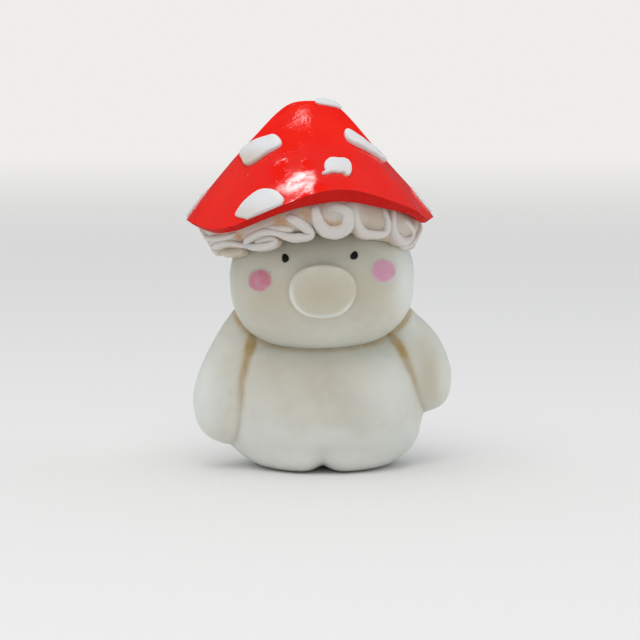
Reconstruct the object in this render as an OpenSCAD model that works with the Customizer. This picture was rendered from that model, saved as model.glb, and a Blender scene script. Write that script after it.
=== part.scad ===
// Mushroom figurine: a round-headed clay figure under a drooping red cap with raised pale spots.
// Millimetres. The figure stands on z = 0, faces -Y and has its left arm, as seen from the front, at -X.
// Every clay piece is a solid of its own, laid on its neighbours with a thin glue line between them.

/* [Body] */
// Width of the body at its widest, low on the belly
body_w = 29; // [26:0.5:32]
// Depth of the body, front to back
body_d = 25; // [22:0.5:28]
// Height of the body, to the top that the head hides
body_h = 22; // [20:0.5:24]
// Depth of the line pressed between the two feet
foot_line_depth = 1.3; // [0.4:0.1:2.4]
// Width of the line pressed between the two feet
foot_line_w = 2.6; // [1:0.1:4]
// Height at which the line between the feet fades away
foot_line_h = 5; // [2:0.5:8]

/* [Arms] */
// Thickness of an arm, measured away from the body
arm_t = 10.2; // [8.5:0.1:11.5]
// Depth of an arm, front to back
arm_d = 9.4; // [7.5:0.1:11]
// How far the arms' tops stand above the body's top
arm_rise = 1.2; // [0.4:0.1:2]
// Height of the left hand's end above the ground
hand_left_low = 3.7; // [2:0.1:8]
// Height of the right hand's end above the ground
hand_right_low = 8.1; // [3:0.1:9]
// How far the middle of a hand stands outside the body's side
hand_out = 1; // [0.4:0.1:1.6]
// How far the left arm lies in front of the body's middle
arm_left_forward = 1.5; // [-1:0.1:3]
// How far the right arm lies in front of the body's middle
arm_right_forward = -0.9; // [-3:0.1:1]

/* [Head] */
// Width of the head
head_w = 27.6; // [26:0.2:30]
// Depth of the head, front to back
head_d = 25.2; // [23.6:0.2:27]
// Height of the head
head_h = 21.9; // [20.5:0.1:23]
// How far the head sinks into the top of the body
head_sink = 4.7; // [3.7:0.1:5.5]
// Forward slope of the body's top, which lowers the chest under the chin
chest_slope = 15; // [6:0.5:18]
// Sideways roll of the head, its right side up
head_roll = 2.5; // [-4:0.5:5]

/* [Face] */
// Width of the nose
nose_w = 9.8; // [7:0.1:11]
// Height of the nose
nose_h = 7.9; // [6:0.1:9]
// How far the nose stands out of the face
nose_out = 3; // [2:0.1:4]
// Thickness of the nose, with the part that is pressed into the face
nose_t = 4.6; // [4.2:0.1:6]
// How far the nose's middle lies below the head's middle
nose_drop = 1; // [0:0.1:2.5]
// Width of an eye
eye_w = 1.15; // [0.8:0.05:1.6]
// Height of an eye
eye_h = 1.3; // [0.9:0.05:1.8]
// Thickness of an eye's bead
eye_t = 0.9; // [0.6:0.05:1.4]
// Distance between the eyes' middles
eye_spacing = 10; // [8:0.1:12]
// Height of the eyes above the head's middle
eye_up = 3.95; // [3:0.05:5]
// Width of a cheek's pink disc
cheek_w = 4.3; // [2.6:0.1:4.8]
// Height of a cheek's pink disc
cheek_h = 3.6; // [2.6:0.1:4.4]
// Thickness of a cheek's pink disc
cheek_t = 1; // [0.7:0.05:1.4]
// How deep the middle of a cheek's disc lies in the face
cheek_sink = 0.2; // [0.05:0.05:0.35]
// Distance between the cheeks' middles
cheek_spacing = 18.2; // [16.5:0.1:19.5]
// Height of the left cheek above the head's middle
cheek_left_up = 0.65; // [-0.5:0.05:1.5]
// Height of the right cheek above the head's middle
cheek_right_up = 1.4; // [0:0.05:2]

/* [Cap] */
// How far the cap's rim stands out past the head's side
cap_out = 4.1; // [3.2:0.1:5.5]
// Height of the cap above its rim
cap_h = 17.6; // [15:0.1:20]
// How far the cap comes down over the top of the head
cap_down = 2.35; // [1.6:0.05:3]
// How far the cap's middle lies to the right of the head's, less than 0 for the left
cap_shift = -1.5; // [-2.2:0.1:1]
// Backward tilt of the cap
cap_tilt = 9; // [4:0.5:12]
// How far the rim droops at the front left
rim_droop = 3; // [1:0.1:3.6]
// Thickness of the rim where it is thin
rim_t = 0.5; // [0.3:0.05:0.9]
// Extra thickness of the rim at the front
rim_front_t = 1.2; // [0.4:0.1:1.6]
// Height of the hollow in the cap's underside
hollow_h = 1.5; // [1:0.1:2]

/* [Frill] */
// How far the frill lies back from the cap's rim
frill_back = 1.4; // [0.8:0.1:1.8]
// Thickness of the frill's ribbon
frill_t = 1.1; // [0.8:0.05:1.2]
// Gap between the strands of two neighbouring loops
frill_gap = 0.2; // [0.15:0.05:0.4]
// Depth of the ribbon, from its outer edge in to the collar
frill_deep = 2.2; // [1.6:0.1:2.4]
// Height of the frill, from the level of the rim down
frill_h = 4.1; // [3.4:0.1:4.8]
// Height of the collar that backs the frill, from the level of the rim down
collar_h = 3.1; // [2.4:0.1:3.6]
// Rounding of the ribbon's outer edge
frill_round = 0.45; // [0.3:0.05:0.6]

/* [Spots] */
// Length of the longest spot on the cap
spot_l = 8; // [6.5:0.1:8.8]
// Thickness of a spot
spot_t = 0.95; // [0.5:0.05:1.4]

/* [Neck pin] */
// Diameter of the wooden pin that joins body, head and cap
pin_d = 2; // [1.5:0.1:3]
// Depth of the pin in the body, from the head's lowest point
pin_in_body = 9; // [5:0.5:12]
// Depth of the pin in the cap, from the head's highest point
pin_in_cap = 7; // [3:0.5:8]

/* [Fit] */
// Thickness of the glue line between two pieces
glue_line = 0.06; // [0.05:0.01:0.1]

/* [Hidden] */

clay = [0.83, 0.83, 0.76];
white_clay = [0.92, 0.92, 0.90];
red_clay = [0.87, 0.13, 0.11];
pink_clay = [0.83, 0.50, 0.64];
black_clay = [0.06, 0.06, 0.07];
wood = [0.80, 0.66, 0.44];

// Facets of the true round shapes
$fn = 96;
// Points round the body, the head, an arm, the cap and a spot
body_sides = 52;
head_sides = 52;
arm_sides = 24;
cap_sides = 64;
spot_sides = 22;
// Rings from the head's lowest point to its highest
head_rings = 20;
head_z = body_h - head_sink + head_h / 2;
head_low = head_z - head_h / 2;
head_top = head_z + head_h / 2;
cap_z = head_top - cap_down;
cap_r = head_w / 2 + cap_out;
frill_r = cap_r - frill_back;
collar_r = frill_r - frill_deep;
pin_low = head_low - pin_in_body;
pin_high = head_top + pin_in_cap;

// The body's outline from the ground up: share of body_h, share of the half width
body_shares = [
  [0, 0.60], [0.012, 0.67], [0.03, 0.735], [0.06, 0.805], [0.10, 0.872], [0.15, 0.935], [0.21, 0.978],
  [0.29, 1], [0.38, 0.995], [0.47, 0.97], [0.56, 0.937], [0.64, 0.905], [0.72, 0.865], [0.79, 0.81],
  [0.85, 0.745], [0.905, 0.64], [0.95, 0.48], [0.985, 0.25]
];
// The chest's slope grows with this power of the height
chest_power = 3;

// The head's squareness: seen from above, from the front above its middle, and from the front below it
head_power = 2.2;
crown_power = 2.1;
chin_power = 2.5;

// An arm from the hand's end up: share of its height, share of its thickness, share of the way out
arm_shares = [
  [0.008, 0.22, 1], [0.03, 0.43, 0.97], [0.07, 0.62, 0.93], [0.12, 0.76, 0.90], [0.19, 0.88, 0.85],
  [0.28, 0.96, 0.79], [0.38, 1, 0.73], [0.49, 0.995, 0.63], [0.60, 0.965, 0.50], [0.70, 0.91, 0.36],
  [0.79, 0.83, 0.22], [0.87, 0.71, 0.12], [0.93, 0.56, 0.05], [0.97, 0.39, 0.02], [0.993, 0.18, 0]
];
// The arm's top lies over this share of the body's half width
shoulder_share = 0.75;

// Swells of the rim: angle, share of rim_droop that it rises, spread in degrees
rim_wave_shares = [[222, -1, 30], [284, 0.36, 24], [341, -0.33, 12], [110, -0.43, 32], [50, 0.13, 25]];
// Corners of the rim: angle, share of cap_r that it stands out, spread in degrees
rim_corner_shares = [[188, 0.045, 14], [0, 0.01, 20]];
// The thick part of the rim: its angle and its spread in degrees
rim_thick_at = 285;
rim_thick_spread = 28;
// The cap's section: roundness, top share and slope share of the curve that it follows
dome_power = 4.5;
dome_top_share = 0.26;
dome_slope_share = 1.19;
// Rings of the cap as shares of its radius, out along the underside and up the outside
under_ring_shares = [0.25, 0.5, 0.7, 0.82, 0.9, 0.95];
cap_ring_shares = [1, 0.97, 0.92, 0.85, 0.77, 0.69, 0.61, 0.53, 0.45, 0.37, 0.30, 0.24, 0.18, 0.12, 0.06];
// Rings of the collar as shares of the cap's radius, the first inside the head
collar_ring_shares = [0.25, 0.5, 0.7];
// The rounded lip between them: share of the radius, share of the rim's thickness
lip_shares = [[0.985, 0], [1.006, 0.45]];

// The frill's loops: angle of the middle, share of its width that it leans, share of frill_h that it hangs
loop_shares = [
  [11, 0.02, 1], [34, -0.03, 0.95], [57, 0.03, 1.02], [80, -0.02, 0.98], [102, 0.03, 1.03],
  [124, -0.03, 0.96], [147, 0.02, 1], [170, -0.02, 1.04], [192, 0.03, 1.05], [215, 0.12, 1.32],
  [241, 0.05, 1.25], [264, 0.08, 1.1], [282.4, -0.02, 1.06], [304, 0.02, 1], [327, 0.03, 1.1],
  [348, -0.04, 1.12]
];
// Half a loop, from the fold under the cap to the middle of the bottom: share of the fold's half width,
// share of the way on to the middle, share of the height
loop_path_shares = [
  [0, 0, 1], [0.65, 0, 0.96], [0.97, 0, 0.84], [1, 0.01, 0.65], [1, 0.04, 0.45], [1, 0.13, 0.25],
  [1, 0.34, 0.08], [1, 0.67, 0.01], [1, 1, 0]
];
// Share of the rim's droop that the bottoms of the frill and the collar follow
frill_follow_share = 0.55;
// The ribbon's section: share of its thickness at the collar, in the middle and at the outer edge
ribbon_shares = [0.85, 1, 0.6];

// Spots: angle, share of the cap's radius, share of spot_l long, share of spot_l wide, turn, squareness,
// share of spot_t thick
spot_shares = [
  [332, 0.155, 0.52, 0.44, 15, 2.2, 0.55],
  [222, 0.572, 0.98, 0.42, 14, 3, 1],
  [323, 0.548, 0.96, 0.31, -27, 3, 0.95],
  [285.5, 0.775, 0.54, 0.42, -6, 2.6, 0.95],
  [245, 0.935, 0.96, 0.70, -5, 1.6, 0.9],
  [177, 0.915, 0.60, 0.76, 0, 2.3, 1],
  [359, 0.915, 0.56, 0.60, 0, 2.2, 0.9],
  [120, 0.36, 0.62, 0.5, 25, 2.2, 0.9],
  [140, 0.76, 0.78, 0.56, -18, 2.1, 1],
  [52, 0.66, 0.74, 0.56, 12, 2.4, 1],
  [92, 0.86, 0.66, 0.5, 5, 2.3, 0.9]
];
// A spot's section, from the middle of its underside to the middle of its top: share of its outline,
// share of its thickness
spot_edge_shares = [[0.35, 0], [0.7, 0], [1, 0], [1.04, 0.35], [0.98, 0.75], [0.82, 0.95], [0.42, 1]];

// Steps round the whole frill
frill_steps = 2 * (len(loop_path_shares) - 1) * len(loop_shares);

// Angle from a to b, between -180 and 180
function turn(a, b) = (b - a + 540) % 360 - 180;

// Sum of the bumps of a table at an angle
function bumps(table, angle) =
  let (list = [for (row = table) row[1] * exp(-pow(turn(row[0], angle) / row[2], 2))])
  list * [for (row = table) 1];

// A point of the body's outside at an angle, for one row of its outline
function body_point(row, angle) =
  let (
    z = row[0] * body_h,
    x = row[1] * body_w / 2 * cos(angle),
    y = row[1] * body_d / 2 * sin(angle),
    fade = max(0, 1 - z / foot_line_h),
    press = y < 0 ? foot_line_depth * fade * exp(-pow(2 * x / foot_line_w, 2)) : 0
  )
  [x, y + press, z + y * tan(chest_slope) * pow(row[0], chest_power)];

// A signed power, for rounded squares
function round_power(value, power) = sign(value) * pow(abs(value), power);

function front_power(z) = z > 0 ? crown_power : chin_power;

// The head's surface in front of a place on the face, and the outward direction there
function face_point(x, z) =
  let (
    power = front_power(z),
    wide = pow(1 - pow(abs(2 * z / head_h), power), head_power / power)
  )
  [x, -head_d / 2 * pow(wide - pow(abs(2 * x / head_w), head_power), 1 / head_power), z];
function face_out(x, z) =
  let (step = head_w / head_sides)
  [
    face_point(x + step / 2, z).y - face_point(x - step / 2, z).y,
    -step,
    face_point(x, z + step / 2).y - face_point(x, z - step / 2).y
  ];

// The cap's own frame: x and y across, h along its tilted axis from the level of the rim
function cap_place(angle, r, h) =
  let (x = r * cos(angle), y = r * sin(angle))
  [x + cap_shift, y * cos(cap_tilt) + h * sin(cap_tilt), h * cos(cap_tilt) - y * sin(cap_tilt) + cap_z];

function rim_lift(angle) = rim_droop * bumps(rim_wave_shares, angle);
function rim_radius(angle) = cap_r * (1 + bumps(rim_corner_shares, angle));
function rim_thickness(angle) =
  rim_t + rim_front_t * exp(-pow(turn(rim_thick_at, angle) / rim_thick_spread, 2));

// The cap's section: height share at a share of its radius
function dome(s) =
  let (sum = pow(dome_slope_share * s, dome_power) + pow(dome_top_share, dome_power))
  1 + dome_top_share - pow(sum, 1 / dome_power);

// Height of the cap's outside at a share of its radius
function cap_height(angle, s) =
  cap_h * dome(s) + (rim_thickness(angle) - cap_h * dome(1)) * pow(s, 6) + rim_lift(angle) * pow(s, 3);
function cap_point(angle, s) = cap_place(angle, s * rim_radius(angle), cap_height(angle, s));

// Height of the cap's underside at a radius
function under_height(angle, r) =
  let (q = r / rim_radius(angle))
  rim_lift(angle) * pow(q, 3) + hollow_h * (1 - pow(q, 6));

// A step along the frill: its angle and its height share, 1 at the cap and 0 at the bottom
function frill_step(k) =
  let (
    count = len(loop_shares),
    steps = 2 * (len(loop_path_shares) - 1),
    i = floor(k / steps),
    j = k - i * steps,
    side = 2 * j > steps ? -1 : 1,
    row = loop_path_shares[min(j, steps - j)],
    here = loop_shares[(i + count) % count],
    next = loop_shares[(i - side + count) % count],
    half = turn(here[0], next[0]) / 2,
    fold = side * (frill_t + frill_gap) / 2 / frill_r * 180 / PI,
    lean = here[1] * abs(2 * half) * pow(1 - row[2], 2)
  )
  [here[0] + half + row[0] * fold - row[1] * (half + fold) + lean, 1 - here[2] * (1 - row[2])];

// Height of the frill's ribbon at an angle, a height share and a radius
function frill_height(angle, share, r) =
  let (
    top = under_height(angle, r) - frill_t / 2 - glue_line,
    bottom = frill_t / 2 - frill_h + frill_follow_share * rim_lift(angle)
  )
  bottom + share * (top - bottom);

// One section of the ribbon: three points on each face
function frill_ring(k) =
  let (
    here = frill_step(k),
    before = frill_step(k - 1),
    after = frill_step(k + 1),
    run = turn(before[0], after[0]) * PI / 180 * frill_r,
    rise = frill_height(after[0], after[1], frill_r) - frill_height(before[0], before[1], frill_r),
    long = norm([run, rise]),
    side = [-rise / long * frill_t / 2 / frill_r * 180 / PI, run / long * frill_t / 2],
    reach = [collar_r + glue_line, frill_r - frill_round, frill_r]
  )
  [for (row = [[0, 1], [1, 1], [2, 1], [2, -1], [1, -1], [0, -1]])
    let (
      r = reach[row[0]],
      offset = side * ribbon_shares[row[0]] * row[1]
    )
    cap_place(here[0] + offset[0], r, frill_height(here[0], here[1], r) + offset[1])];

// One section of the collar, which follows the cap's underside and the frill
function collar_ring(angle) =
  let (
    low = frill_follow_share * rim_lift(angle) - collar_h,
    reach = concat([for (q = collar_ring_shares) q * rim_radius(angle)], [collar_r])
  )
  concat(
    [cap_place(angle, reach[0], low)],
    [for (r = reach) cap_place(angle, r, under_height(angle, r) - glue_line)],
    [cap_place(angle, collar_r, low)]
  );

// A closed skin over a stack of rings of as many points, with a point at each end
module skin(first, rings, last) {
  n = len(rings[0]);
  m = len(rings);
  end = n * m + 1;
  points = concat([first], [for (ring = rings, p = ring) p], [last]);
  faces = concat(
    [for (i = [0:n - 1]) [0, 1 + i, 1 + (i + 1) % n]],
    [for (j = [0:m - 2], i = [0:n - 1])
      let (
        a = 1 + j * n + i,
        b = 1 + j * n + (i + 1) % n
      )
      each [[a, a + n, b], [b, a + n, b + n]]],
    [for (i = [0:n - 1]) [end, 1 + (m - 1) * n + (i + 1) % n, 1 + (m - 1) * n + i]]
  );
  polyhedron(points, faces);
}

// A closed skin round a ring of sections
module hoop(rings) {
  n = len(rings[0]);
  m = len(rings);
  points = [for (ring = rings, p = ring) p];
  faces = [for (j = [0:m - 1], i = [0:n - 1])
    let (
      a = j * n + i,
      b = j * n + (i + 1) % n,
      c = (j + 1) % m * n + i,
      d = (j + 1) % m * n + (i + 1) % n
    )
    each [[a, c, b], [b, c, d]]];
  polyhedron(points, faces);
}

module head_place() {
  translate([0, 0, head_z])
    rotate([0, -head_roll, 0])
      children();
}

// Puts a piece on the face, its own -Y pointing outwards
module on_face(x, z) {
  p = face_point(x, z);
  out = face_out(x, z);
  head_place()
    translate(p)
      rotate([-atan2(out.z, norm([out.x, out.y])), 0, atan2(out.x, -out.y)])
        children();
}

module ellipsoid(size, grow) {
  scale([size.x / 2 + grow, size.y / 2 + grow, size.z / 2 + grow])
    sphere(1);
}

module head_blank(grow = 0) {
  half = [head_w / 2 + grow, head_d / 2 + grow, head_h / 2 + grow];
  head_place()
    skin(
      [0, 0, -half.z],
      [for (j = [1:head_rings - 1])
        let (
          tilt = 180 * j / head_rings - 90,
          power = front_power(tilt),
          wide = pow(cos(tilt), 2 / power)
        )
        [for (i = [0:head_sides - 1])
          let (angle = 360 * i / head_sides)
          [
            half.x * wide * round_power(cos(angle), 2 / head_power),
            half.y * wide * round_power(sin(angle), 2 / head_power),
            half.z * round_power(sin(tilt), 2 / power)
          ]]],
      [0, 0, half.z]
    );
}

module body_blank() {
  skin(
    [0, 0, 0],
    [for (row = body_shares) [for (i = [0:body_sides - 1]) body_point(row, 360 * i / body_sides)]],
    [0, 0, body_h]
  );
}

// The hole for the neck pin, as long as the pin and a glue line wider
module pin_hole() {
  translate([0, 0, pin_low - glue_line])
    cylinder(h = pin_high - pin_low + 2 * glue_line, d = pin_d + 2 * glue_line);
}

module body() {
  color(clay)
    difference() {
      body_blank();
      head_blank(glue_line);
      pin_hole();
    }
}

module arm(side, low, forward) {
  top = body_h + arm_rise;
  long = top - low;
  shoulder = shoulder_share * body_w / 2;
  hand = body_w / 2 + hand_out;
  color(clay)
    difference() {
      skin(
        [side * hand, -forward, low],
        [for (row = arm_shares)
          [for (i = [0:arm_sides - 1])
            [
              side * (shoulder + row[2] * (hand - shoulder)) + row[1] * arm_t / 2 * cos(360 * i / arm_sides),
              row[1] * arm_d / 2 * sin(360 * i / arm_sides) - forward,
              low + row[0] * long
            ]]],
        [side * shoulder, -forward, top]
      );
      grown_body();
      head_blank(glue_line);
    }
}

// The body grown by the glue line, for the pieces that are laid on it
module grown_body() {
  translate([0, 0, -glue_line])
    scale([1 + 2 * glue_line / body_w, 1 + 2 * glue_line / body_d, 1 + 2 * glue_line / body_h])
      body_blank();
}

module head() {
  color(clay)
    difference() {
      head_blank();
      nose_ball(glue_line);
      eye_bead(-1, glue_line);
      eye_bead(1, glue_line);
      cheek_disc(-1, cheek_left_up, glue_line);
      cheek_disc(1, cheek_right_up, glue_line);
      pin_hole();
    }
}

module nose_ball(grow) {
  on_face(0, -nose_drop)
    translate([0, nose_t / 2 - nose_out, 0])
      ellipsoid([nose_w, nose_t, nose_h], grow);
}

module nose() {
  color(clay)
    nose_ball(0);
}

module eye_bead(side, grow) {
  on_face(side * eye_spacing / 2, eye_up)
    ellipsoid([eye_w, eye_t, eye_h], grow);
}

module eye(side) {
  color(black_clay)
    eye_bead(side, 0);
}

module cheek_disc(side, up, grow) {
  on_face(side * cheek_spacing / 2, up)
    translate([0, cheek_sink, 0])
      ellipsoid([cheek_w, cheek_t, cheek_h], grow);
}

module cheek(side, up) {
  color(pink_clay)
    cheek_disc(side, up, 0);
}

module cap() {
  angles = [for (i = [0:cap_sides - 1]) 360 * i / cap_sides];
  underside = [for (q = under_ring_shares)
    [for (a = angles) cap_place(a, q * rim_radius(a), under_height(a, q * rim_radius(a)))]];
  lip = [for (row = lip_shares)
    [for (a = angles) cap_place(a, row[0] * rim_radius(a), rim_lift(a) + row[1] * rim_thickness(a))]];
  outside = [for (s = cap_ring_shares) [for (a = angles) cap_point(a, s)]];
  color(red_clay)
    difference() {
      skin(cap_place(0, 0, hollow_h), concat(underside, lip, outside), cap_place(0, 0, cap_h));
      head_blank(glue_line);
      pin_hole();
    }
}

module cap_collar() {
  color(white_clay)
    difference() {
      hoop([for (i = [0:cap_sides - 1]) collar_ring(360 * i / cap_sides)]);
      head_blank(glue_line);
    }
}

module gill_frill() {
  color(white_clay)
    difference() {
      hoop([for (k = [0:frill_steps - 1]) frill_ring(k)]);
      head_blank(glue_line);
    }
}

module neck_pin() {
  color(wood)
    translate([0, 0, pin_low])
      cylinder(h = pin_high - pin_low, d = pin_d);
}

// A raised spot that follows the cap's surface
module spot(row) {
  angle = row[0];
  s = row[1];
  step = 1 / cap_sides;
  across = s * rim_radius(angle) * PI / 180;
  down = norm(cap_point(angle, s + step) - cap_point(angle, s - step)) / (2 * step);
  edge = [for (e = spot_edge_shares)
    [for (i = [0:spot_sides - 1])
      let (
        t = 360 * i / spot_sides,
        u = e[0] * row[2] * spot_l / 2 * round_power(cos(t), 2 / row[5]),
        v = e[0] * row[3] * spot_l / 2 * round_power(sin(t), 2 / row[5]),
        a = angle + (u * cos(row[4]) - v * sin(row[4])) / across,
        q = s - (u * sin(row[4]) + v * cos(row[4])) / down
      )
      lifted(a, q, glue_line + e[1] * row[6] * spot_t)]];
  color(white_clay)
    skin(lifted(angle, s, glue_line), edge, lifted(angle, s, glue_line + row[6] * spot_t));
}

// A point at a height above the cap's outside
function lifted(angle, s, height) =
  let (
    step = 1 / cap_sides,
    p = cap_point(angle, s),
    along = cap_point(angle + 1, s) - cap_point(angle - 1, s),
    up = cap_point(angle, s - step) - cap_point(angle, s + step),
    out = cross(along, up)
  )
  p + height * out / norm(out);

body();
arm(-1, hand_left_low, arm_left_forward);  // arm_left
arm(1, hand_right_low, arm_right_forward);  // arm_right
head();
nose();
eye(-1);  // eye_left
eye(1);  // eye_right
cheek(-1, cheek_left_up);  // cheek_left
cheek(1, cheek_right_up);  // cheek_right
cap();
cap_collar();
gill_frill();
neck_pin();
spot(spot_shares[0]);  // spot_top
spot(spot_shares[1]);  // spot_upper_left
spot(spot_shares[2]);  // spot_upper_right
spot(spot_shares[3]);  // spot_front_right
spot(spot_shares[4]);  // spot_lower_left
spot(spot_shares[5]);  // spot_left_edge
spot(spot_shares[6]);  // spot_right_edge
spot(spot_shares[7]);  // spot_back_top
spot(spot_shares[8]);  // spot_back_left
spot(spot_shares[9]);  // spot_back_right
spot(spot_shares[10]);  // spot_back_low
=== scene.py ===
"""Looks of the mushroom figurine: a round-headed clay figure under a drooping, varnished red cap.

Every form is made in millimetres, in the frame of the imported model, and turned into metres when its
mesh is made. The left side is the left side as the front is seen.
"""

import math

import bmesh
import bpy
import numpy as np
from mathutils import Matrix, Vector
from mathutils.bvhtree import BVHTree


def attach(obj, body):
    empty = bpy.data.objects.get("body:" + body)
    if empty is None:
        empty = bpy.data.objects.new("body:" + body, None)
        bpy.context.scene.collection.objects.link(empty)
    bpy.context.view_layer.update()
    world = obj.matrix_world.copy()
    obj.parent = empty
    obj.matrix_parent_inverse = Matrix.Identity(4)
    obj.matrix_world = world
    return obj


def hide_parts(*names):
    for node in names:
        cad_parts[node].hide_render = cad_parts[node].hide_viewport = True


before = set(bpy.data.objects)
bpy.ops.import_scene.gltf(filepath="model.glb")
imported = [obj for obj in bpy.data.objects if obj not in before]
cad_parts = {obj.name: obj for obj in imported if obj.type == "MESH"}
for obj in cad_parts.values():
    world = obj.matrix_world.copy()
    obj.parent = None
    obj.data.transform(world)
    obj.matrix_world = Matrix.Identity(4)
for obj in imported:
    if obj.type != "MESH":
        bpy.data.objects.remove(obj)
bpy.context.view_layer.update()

MM = 0.001
TURN = 2 * math.pi

# Body
BODY_W, BODY_D, BODY_H = 29.0, 25.0, 22.0
CHEST_SLOPE, CHEST_POWER = 15.0, 3
# From the middle of the underside to the top: share of the height, share of the half width
BODY_OUTLINE = [
    (0, 0), (0, 0.30), (0, 0.56), (0.012, 0.67), (0.03, 0.735), (0.06, 0.805), (0.10, 0.872), (0.15, 0.935),
    (0.21, 0.978), (0.29, 1), (0.38, 0.995), (0.47, 0.97), (0.56, 0.937), (0.64, 0.905), (0.72, 0.865),
    (0.79, 0.83), (0.85, 0.78), (0.905, 0.68), (0.95, 0.51), (0.985, 0.26), (1, 0),
]

# Arms, from the hand's end up: share of the height, share of the thickness
ARM_T, ARM_D, ARM_TOP = 10.2, 9.4, 23.2
ARM_OUTLINE = [
    (0, 0), (0.008, 0.22), (0.03, 0.43), (0.07, 0.62), (0.12, 0.76), (0.19, 0.88), (0.28, 0.96), (0.38, 1),
    (0.49, 0.995), (0.60, 0.965), (0.70, 0.91), (0.79, 0.83), (0.87, 0.71), (0.93, 0.56), (0.97, 0.39),
    (0.993, 0.18), (1, 0),
]
# From the hand up: share of the height, how far out, how far forward, how much stouter
ARM_LEFT = {"side": -1, "low": 3.85, "places": [
    (0, 14.55, 3.8, 1.0), (0.15, 14.35, 3.5, 1.05), (0.4, 14.05, 1.9, 1.0), (0.6, 13.3, 0.1, 0.94),
    (0.8, 12.15, -2.2, 0.85), (1, 11.1, -3.2, 0.9)]}
ARM_RIGHT = {"side": 1, "low": 8.1, "places": [
    (0, 15.4, -0.8, 1), (0.15, 14.9, -1.2, 1.0), (0.4, 14.45, -1.9, 1.0), (0.6, 13.65, -2.4, 0.99),
    (0.8, 12.5, -2.6, 0.98), (1, 11.3, -2.6, 1)]}

# Head
HEAD_W, HEAD_D, HEAD_H, HEAD_Z, HEAD_ROLL = 27.6, 25.2, 21.9, 28.25, 2.5
HEAD_POWER, CROWN_POWER, CHIN_POWER = 2.2, 2.1, 2.5

# Cap
CAP_R, CAP_H, CAP_Z, CAP_SHIFT, CAP_TILT = 17.9, 17.6, 36.85, -1.5, 9.0
RIM_DROOP, RIM_T, RIM_FRONT_T, HOLLOW_H = 3.0, 0.5, 1.2, 1.5
RIM_WAVES = [(222, -1, 30), (284, 0.36, 24), (341, -0.33, 12), (110, -0.43, 32), (50, 0.13, 25)]
RIM_CORNERS = [(188, 0.045, 14), (0, 0.01, 20)]
RIM_THICK_AT, RIM_THICK_SPREAD = 285, 28
DOME_POWER, DOME_TOP, DOME_SLOPE = 4.5, 0.26, 1.19

# Frill, as far out as its ribbon's face comes
FRILL_R = 16.5

# The view: degrees above level, distance, and the point in its middle
VIEW_UP, VIEW_FAR, VIEW_MIDDLE = 6.0, 400.0, (-0.3, 0.0, 21.7)
VIEW_SIDE = np.array([1.0, 0, 0])
VIEW_RISE = np.array([0, math.sin(math.radians(VIEW_UP)), math.cos(math.radians(VIEW_UP))])
VIEW_BACK = np.array([0, -VIEW_RISE[2], VIEW_RISE[1]])
# Forms that are drawn as seen from the front lie on a grid with this step, counted from the view's middle
GRID = 0.15


# Forms

def signed_power(value, power):
    return np.sign(value) * np.abs(value) ** power


def smooth_max(a, b, soft):
    """The larger of two values, rounded where they cross."""
    share = np.clip(0.5 + 0.5 * (a - b) / soft, 0, 1)
    return b + (a - b) * share + soft * share * (1 - share)


def ramp(value, start, end):
    t = np.clip((value - start) / (end - start), 0, 1)
    return t * t * (3 - 2 * t)


def angle_from(a, b):
    """How many degrees lie from one angle to another, the short way round."""
    return (b - a + 540) % 360 - 180


def bumps(table, angle):
    """The sum of bumps round a circle: angle, height, spread."""
    return sum(height * np.exp(-(angle_from(at, angle) / spread) ** 2) for at, height, spread in table)


def round_angles(sides):
    """Evenly spaced angles round a piece, in radians."""
    return np.radians(np.linspace(0, 360, sides, endpoint=False))


def patch(seen, at_right, at_up, wide, tall):
    """1 at one place of the front view's grid, fading over a reach to the sides and up and down."""
    right, up = seen
    return np.exp(-((right - at_right) / wide) ** 2 - ((up - at_up) / tall) ** 2)


def flowing(points, count, closed=False):
    """Evenly spaced points along a smooth curve through a few chosen ones."""
    p = np.asarray(points, float)
    if closed:
        p = np.vstack([p[-1], p, p[0], p[1]])
    else:
        p = np.vstack([2 * p[0] - p[1], p, 2 * p[-1] - p[-2]])
    steps = 24
    t = np.linspace(0, 1, steps, endpoint=False)[:, None]
    run = []
    for a, b, c, d in zip(p[:-3], p[1:-2], p[2:-1], p[3:]):
        run.append(0.5 * (2 * b + (c - a) * t + (2 * a - 5 * b + 4 * c - d) * t ** 2
                          + (3 * b - a - 3 * c + d) * t ** 3))
    run = np.vstack(run + [p[-2][None]])
    far = np.concatenate([[0], np.cumsum(np.linalg.norm(np.diff(run, axis=0), axis=1))])
    wanted = np.linspace(0, far[-1], count, endpoint=not closed)
    return np.stack([np.interp(wanted, far, run[:, k]) for k in range(run.shape[1])], axis=1)


def swell(points, size, seed, waves=14):
    """Gentle unevenness of work shaped by hand, about -1 to 1, with lumps of one size."""
    rng = np.random.default_rng(seed)
    way = rng.normal(size=(waves, 3))
    way /= np.linalg.norm(way, axis=1, keepdims=True)
    rate = TURN / size * rng.uniform(0.6, 1.4, waves)
    start = rng.uniform(0, TURN, waves)
    return np.sin(points @ (way * rate[:, None]).T + start).sum(axis=-1) / math.sqrt(waves) / 1.4


def to_head(p):
    """Places in the head's own frame, which is rolled a little to one side."""
    roll = math.radians(HEAD_ROLL)
    x, z = p[..., 0], p[..., 2] - HEAD_Z
    return np.stack([x * math.cos(roll) + z * math.sin(roll), p[..., 1],
                     z * math.cos(roll) - x * math.sin(roll)], axis=-1)


def from_head(p):
    """Places out of the head's own frame."""
    roll = math.radians(HEAD_ROLL)
    x, z = p[..., 0], p[..., 2]
    return np.stack([x * math.cos(roll) - z * math.sin(roll), p[..., 1],
                     z * math.cos(roll) + x * math.sin(roll) + HEAD_Z], axis=-1)


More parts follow.
